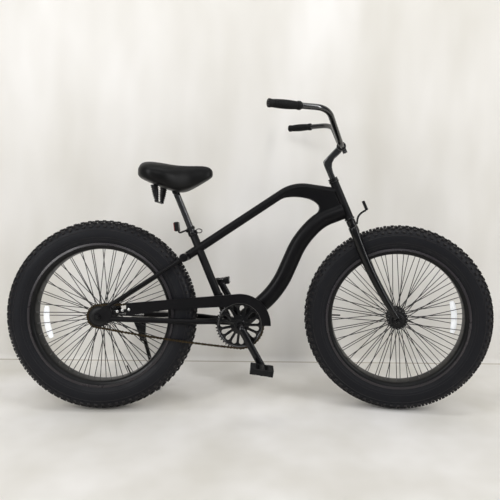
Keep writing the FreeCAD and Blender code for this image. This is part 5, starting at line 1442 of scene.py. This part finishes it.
keptShapes = {
    "framePaint": (
        "bottom_bracket", "dropout_left", "dropout_right", "chain_guard", "guard_bracket_rear",
        "guard_bracket_front",
    ),
    "glossPaint": ("stand_bracket", "side_stand"),
    "polishedPaint": ("seat_post",),
    "hubPaint": ("front_axle", "rear_axle"),
    "brightSteel": ("brake_arm",),
    "bracketPlastic": ("rear_reflector_bracket",),
    "valveRubber": ("front_valve", "rear_valve"),
}


def dress(node, material):
    mesh = frame["nodes"][node].data
    mesh.materials.clear()
    mesh.materials.append(paint[material])
    for face in mesh.polygons:
        face.use_smooth = True
    mesh.set_sharp_from_angle(angle=math.radians(30))


for material, nodes in keptShapes.items():
    for node in nodes:
        dress(node, material)
print("kept shapes dressed")


# Floor, light and camera

studio = {
    "floorColour": (0.7, 0.675, 0.62),
    "stripeColour": (0.86, 0.84, 0.81),
    # the dark line where wall and floor meet is painted shade
    "creaseShadeColour": (0.45, 0.4, 0.33),
    "creaseReach": 0.415,
    "creaseWidth": 0.004,
    "wallDistance": 0.4,
    "curveRadius": 0.03,
    "edge": 6.0,
    "halfWidth": 7,
}


def makePaper():
    # mottled paper, stretched upward so that its faint stripes stand
    material, tree, shader = newMaterial("paperSweep")
    place = addNode(tree, "TexCoord")
    stretch = addNode(tree, "Mapping", {"Scale": (1.0, 1.0, 0.35)})
    noise = addNode(tree, "TexNoise", {"Scale": 2.4, "Detail": 3})
    patches = addNode(tree, "MapRange", {"From Min": 0.34, "From Max": 0.66})
    mottled = mixColour(tree, patches.outputs["Result"], studio["floorColour"], studio["stripeColour"])
    # a painted shade line where the wall meets the floor, by the way out and up
    split = addNode(tree, "SeparateXYZ")
    reach = addNode(tree, "Math", operation="ADD")
    near = addNode(tree, "Math", {1: studio["creaseReach"], 2: studio["creaseWidth"]}, "COMPARE")
    colour = mixColour(tree, near.outputs[0], mottled, studio["creaseShadeColour"])
    # seen from behind, the wall is clear
    side = addNode(tree, "NewGeometry")
    front = addNode(tree, "Math", {0: 1}, "SUBTRACT")
    wire(
        tree,
        (place, "Object", stretch, "Vector"),
        (stretch, "Vector", noise, "Vector"),
        (noise, "Fac", patches, "Value"),
        (place, "Object", split, "Vector"),
        (split, "Y", reach, 0),
        (split, "Z", reach, 1),
        (reach, 0, near, 0),
        (side, "Backfacing", front, 1),
        (front, 0, shader, "Alpha"),
    )
    tree.links.new(colour, shader.inputs["Base Color"])
    setInputs(shader, {"Roughness": 0.85})
    return material


def makeStage():
    # a floor that runs up into a backdrop in one smooth curve
    wall, radius, edge = studio["wallDistance"], studio["curveRadius"], studio["edge"]
    line = [(-edge, 0.0), (wall, 0.0)]
    for step in range(1, 13):
        angle = math.pi / 2 * step / 12
        line.append((wall + radius * math.sin(angle), radius * (1 - math.cos(angle))))
    line.append((wall + radius, edge))
    mesh = bpy.data.meshes.new("backdrop")
    spots = [(x, y, z) for y, z in line for x in (-studio["halfWidth"], studio["halfWidth"])]
    faces = [(a, a + 1, a + 3, a + 2) for a in range(0, len(spots) - 2, 2)]
    mesh.from_pydata(spots, [], faces)
    for face in mesh.polygons:
        face.use_smooth = True
    mesh.materials.append(makePaper())
    stage = bpy.data.objects.new("backdrop", mesh)
    scene.collection.objects.link(stage)


room = {"colour": (0.95, 0.97, 1.0, 1), "strength": 0.3}
# place, aim, power, width, height
lamps = {
    "keyStrip": ((-2.3, -2.2, 2.0), (0, 0, 0.6), 44, 0.45, 2.6),
    "fillStrip": ((2.9, -1.9, 1.9), (0.2, 0, 0.6), 40, 0.4, 2.6),
    "frontPanel": ((0.2, -3.4, 3.0), (0, 0.2, 0.5), 30, 2.4, 1.2),
    "topPanel": ((0.1, -0.6, 3.4), (0, 0.1, 0), 24, 3.4, 0.6),
}


def makeLights():
    world = bpy.data.worlds.new("softRoom")
    world.use_nodes = True
    setInputs(world.node_tree.nodes["Background"], {"Color": room["colour"], "Strength": room["strength"]})
    scene.world = world
    for name, (spot, aim, power, wide, high) in lamps.items():
        lamp = bpy.data.lights.new(name, "AREA")
        lamp.energy = power
        lamp.shape = "RECTANGLE"
        lamp.size = wide
        lamp.size_y = high
        holder = bpy.data.objects.new(name, lamp)
        scene.collection.objects.link(holder)
        holder.location = spot
        holder.rotation_euler = (Vector(aim) - Vector(spot)).to_track_quat("-Z", "Y").to_euler()


photoCamera = {
    "spot": (610.0, -2190.7, 718.0),
    "yaw": -0.0286,
    "pitch": -0.0144,
    "roll": -0.0163,
    "focal": 542.02,
    "frameSize": 500,
    "middle": (272.15, 239.58),
    "sensor": 36,
    "near": 0.05,
    "far": 60,
}


def makeCamera():
    data = bpy.data.cameras.new("photoCamera")
    wide = photoCamera["frameSize"]
    data.sensor_width = photoCamera["sensor"]
    data.lens = photoCamera["focal"] / wide * photoCamera["sensor"]
    data.shift_x = (wide / 2 - photoCamera["middle"][0]) / wide
    data.shift_y = (photoCamera["middle"][1] - wide / 2) / wide
    data.clip_start = photoCamera["near"]
    data.clip_end = photoCamera["far"]
    camera = bpy.data.objects.new("photoCamera", data)
    scene.collection.objects.link(camera)
    turn = (
        Matrix.Rotation(photoCamera["yaw"], 4, "Z")
        @ Matrix.Rotation(photoCamera["pitch"], 4, "X")
        @ Matrix.Rotation(photoCamera["roll"], 4, "Y")
        @ Matrix.Rotation(math.pi / 2, 4, "X")
    )
    camera.matrix_world = rootPlace @ Matrix.Translation(at(*photoCamera["spot"])) @ turn
    scene.camera = camera


makeStage()
makeLights()
makeCamera()
scene.view_settings.view_transform = "Standard"
print("stage made")
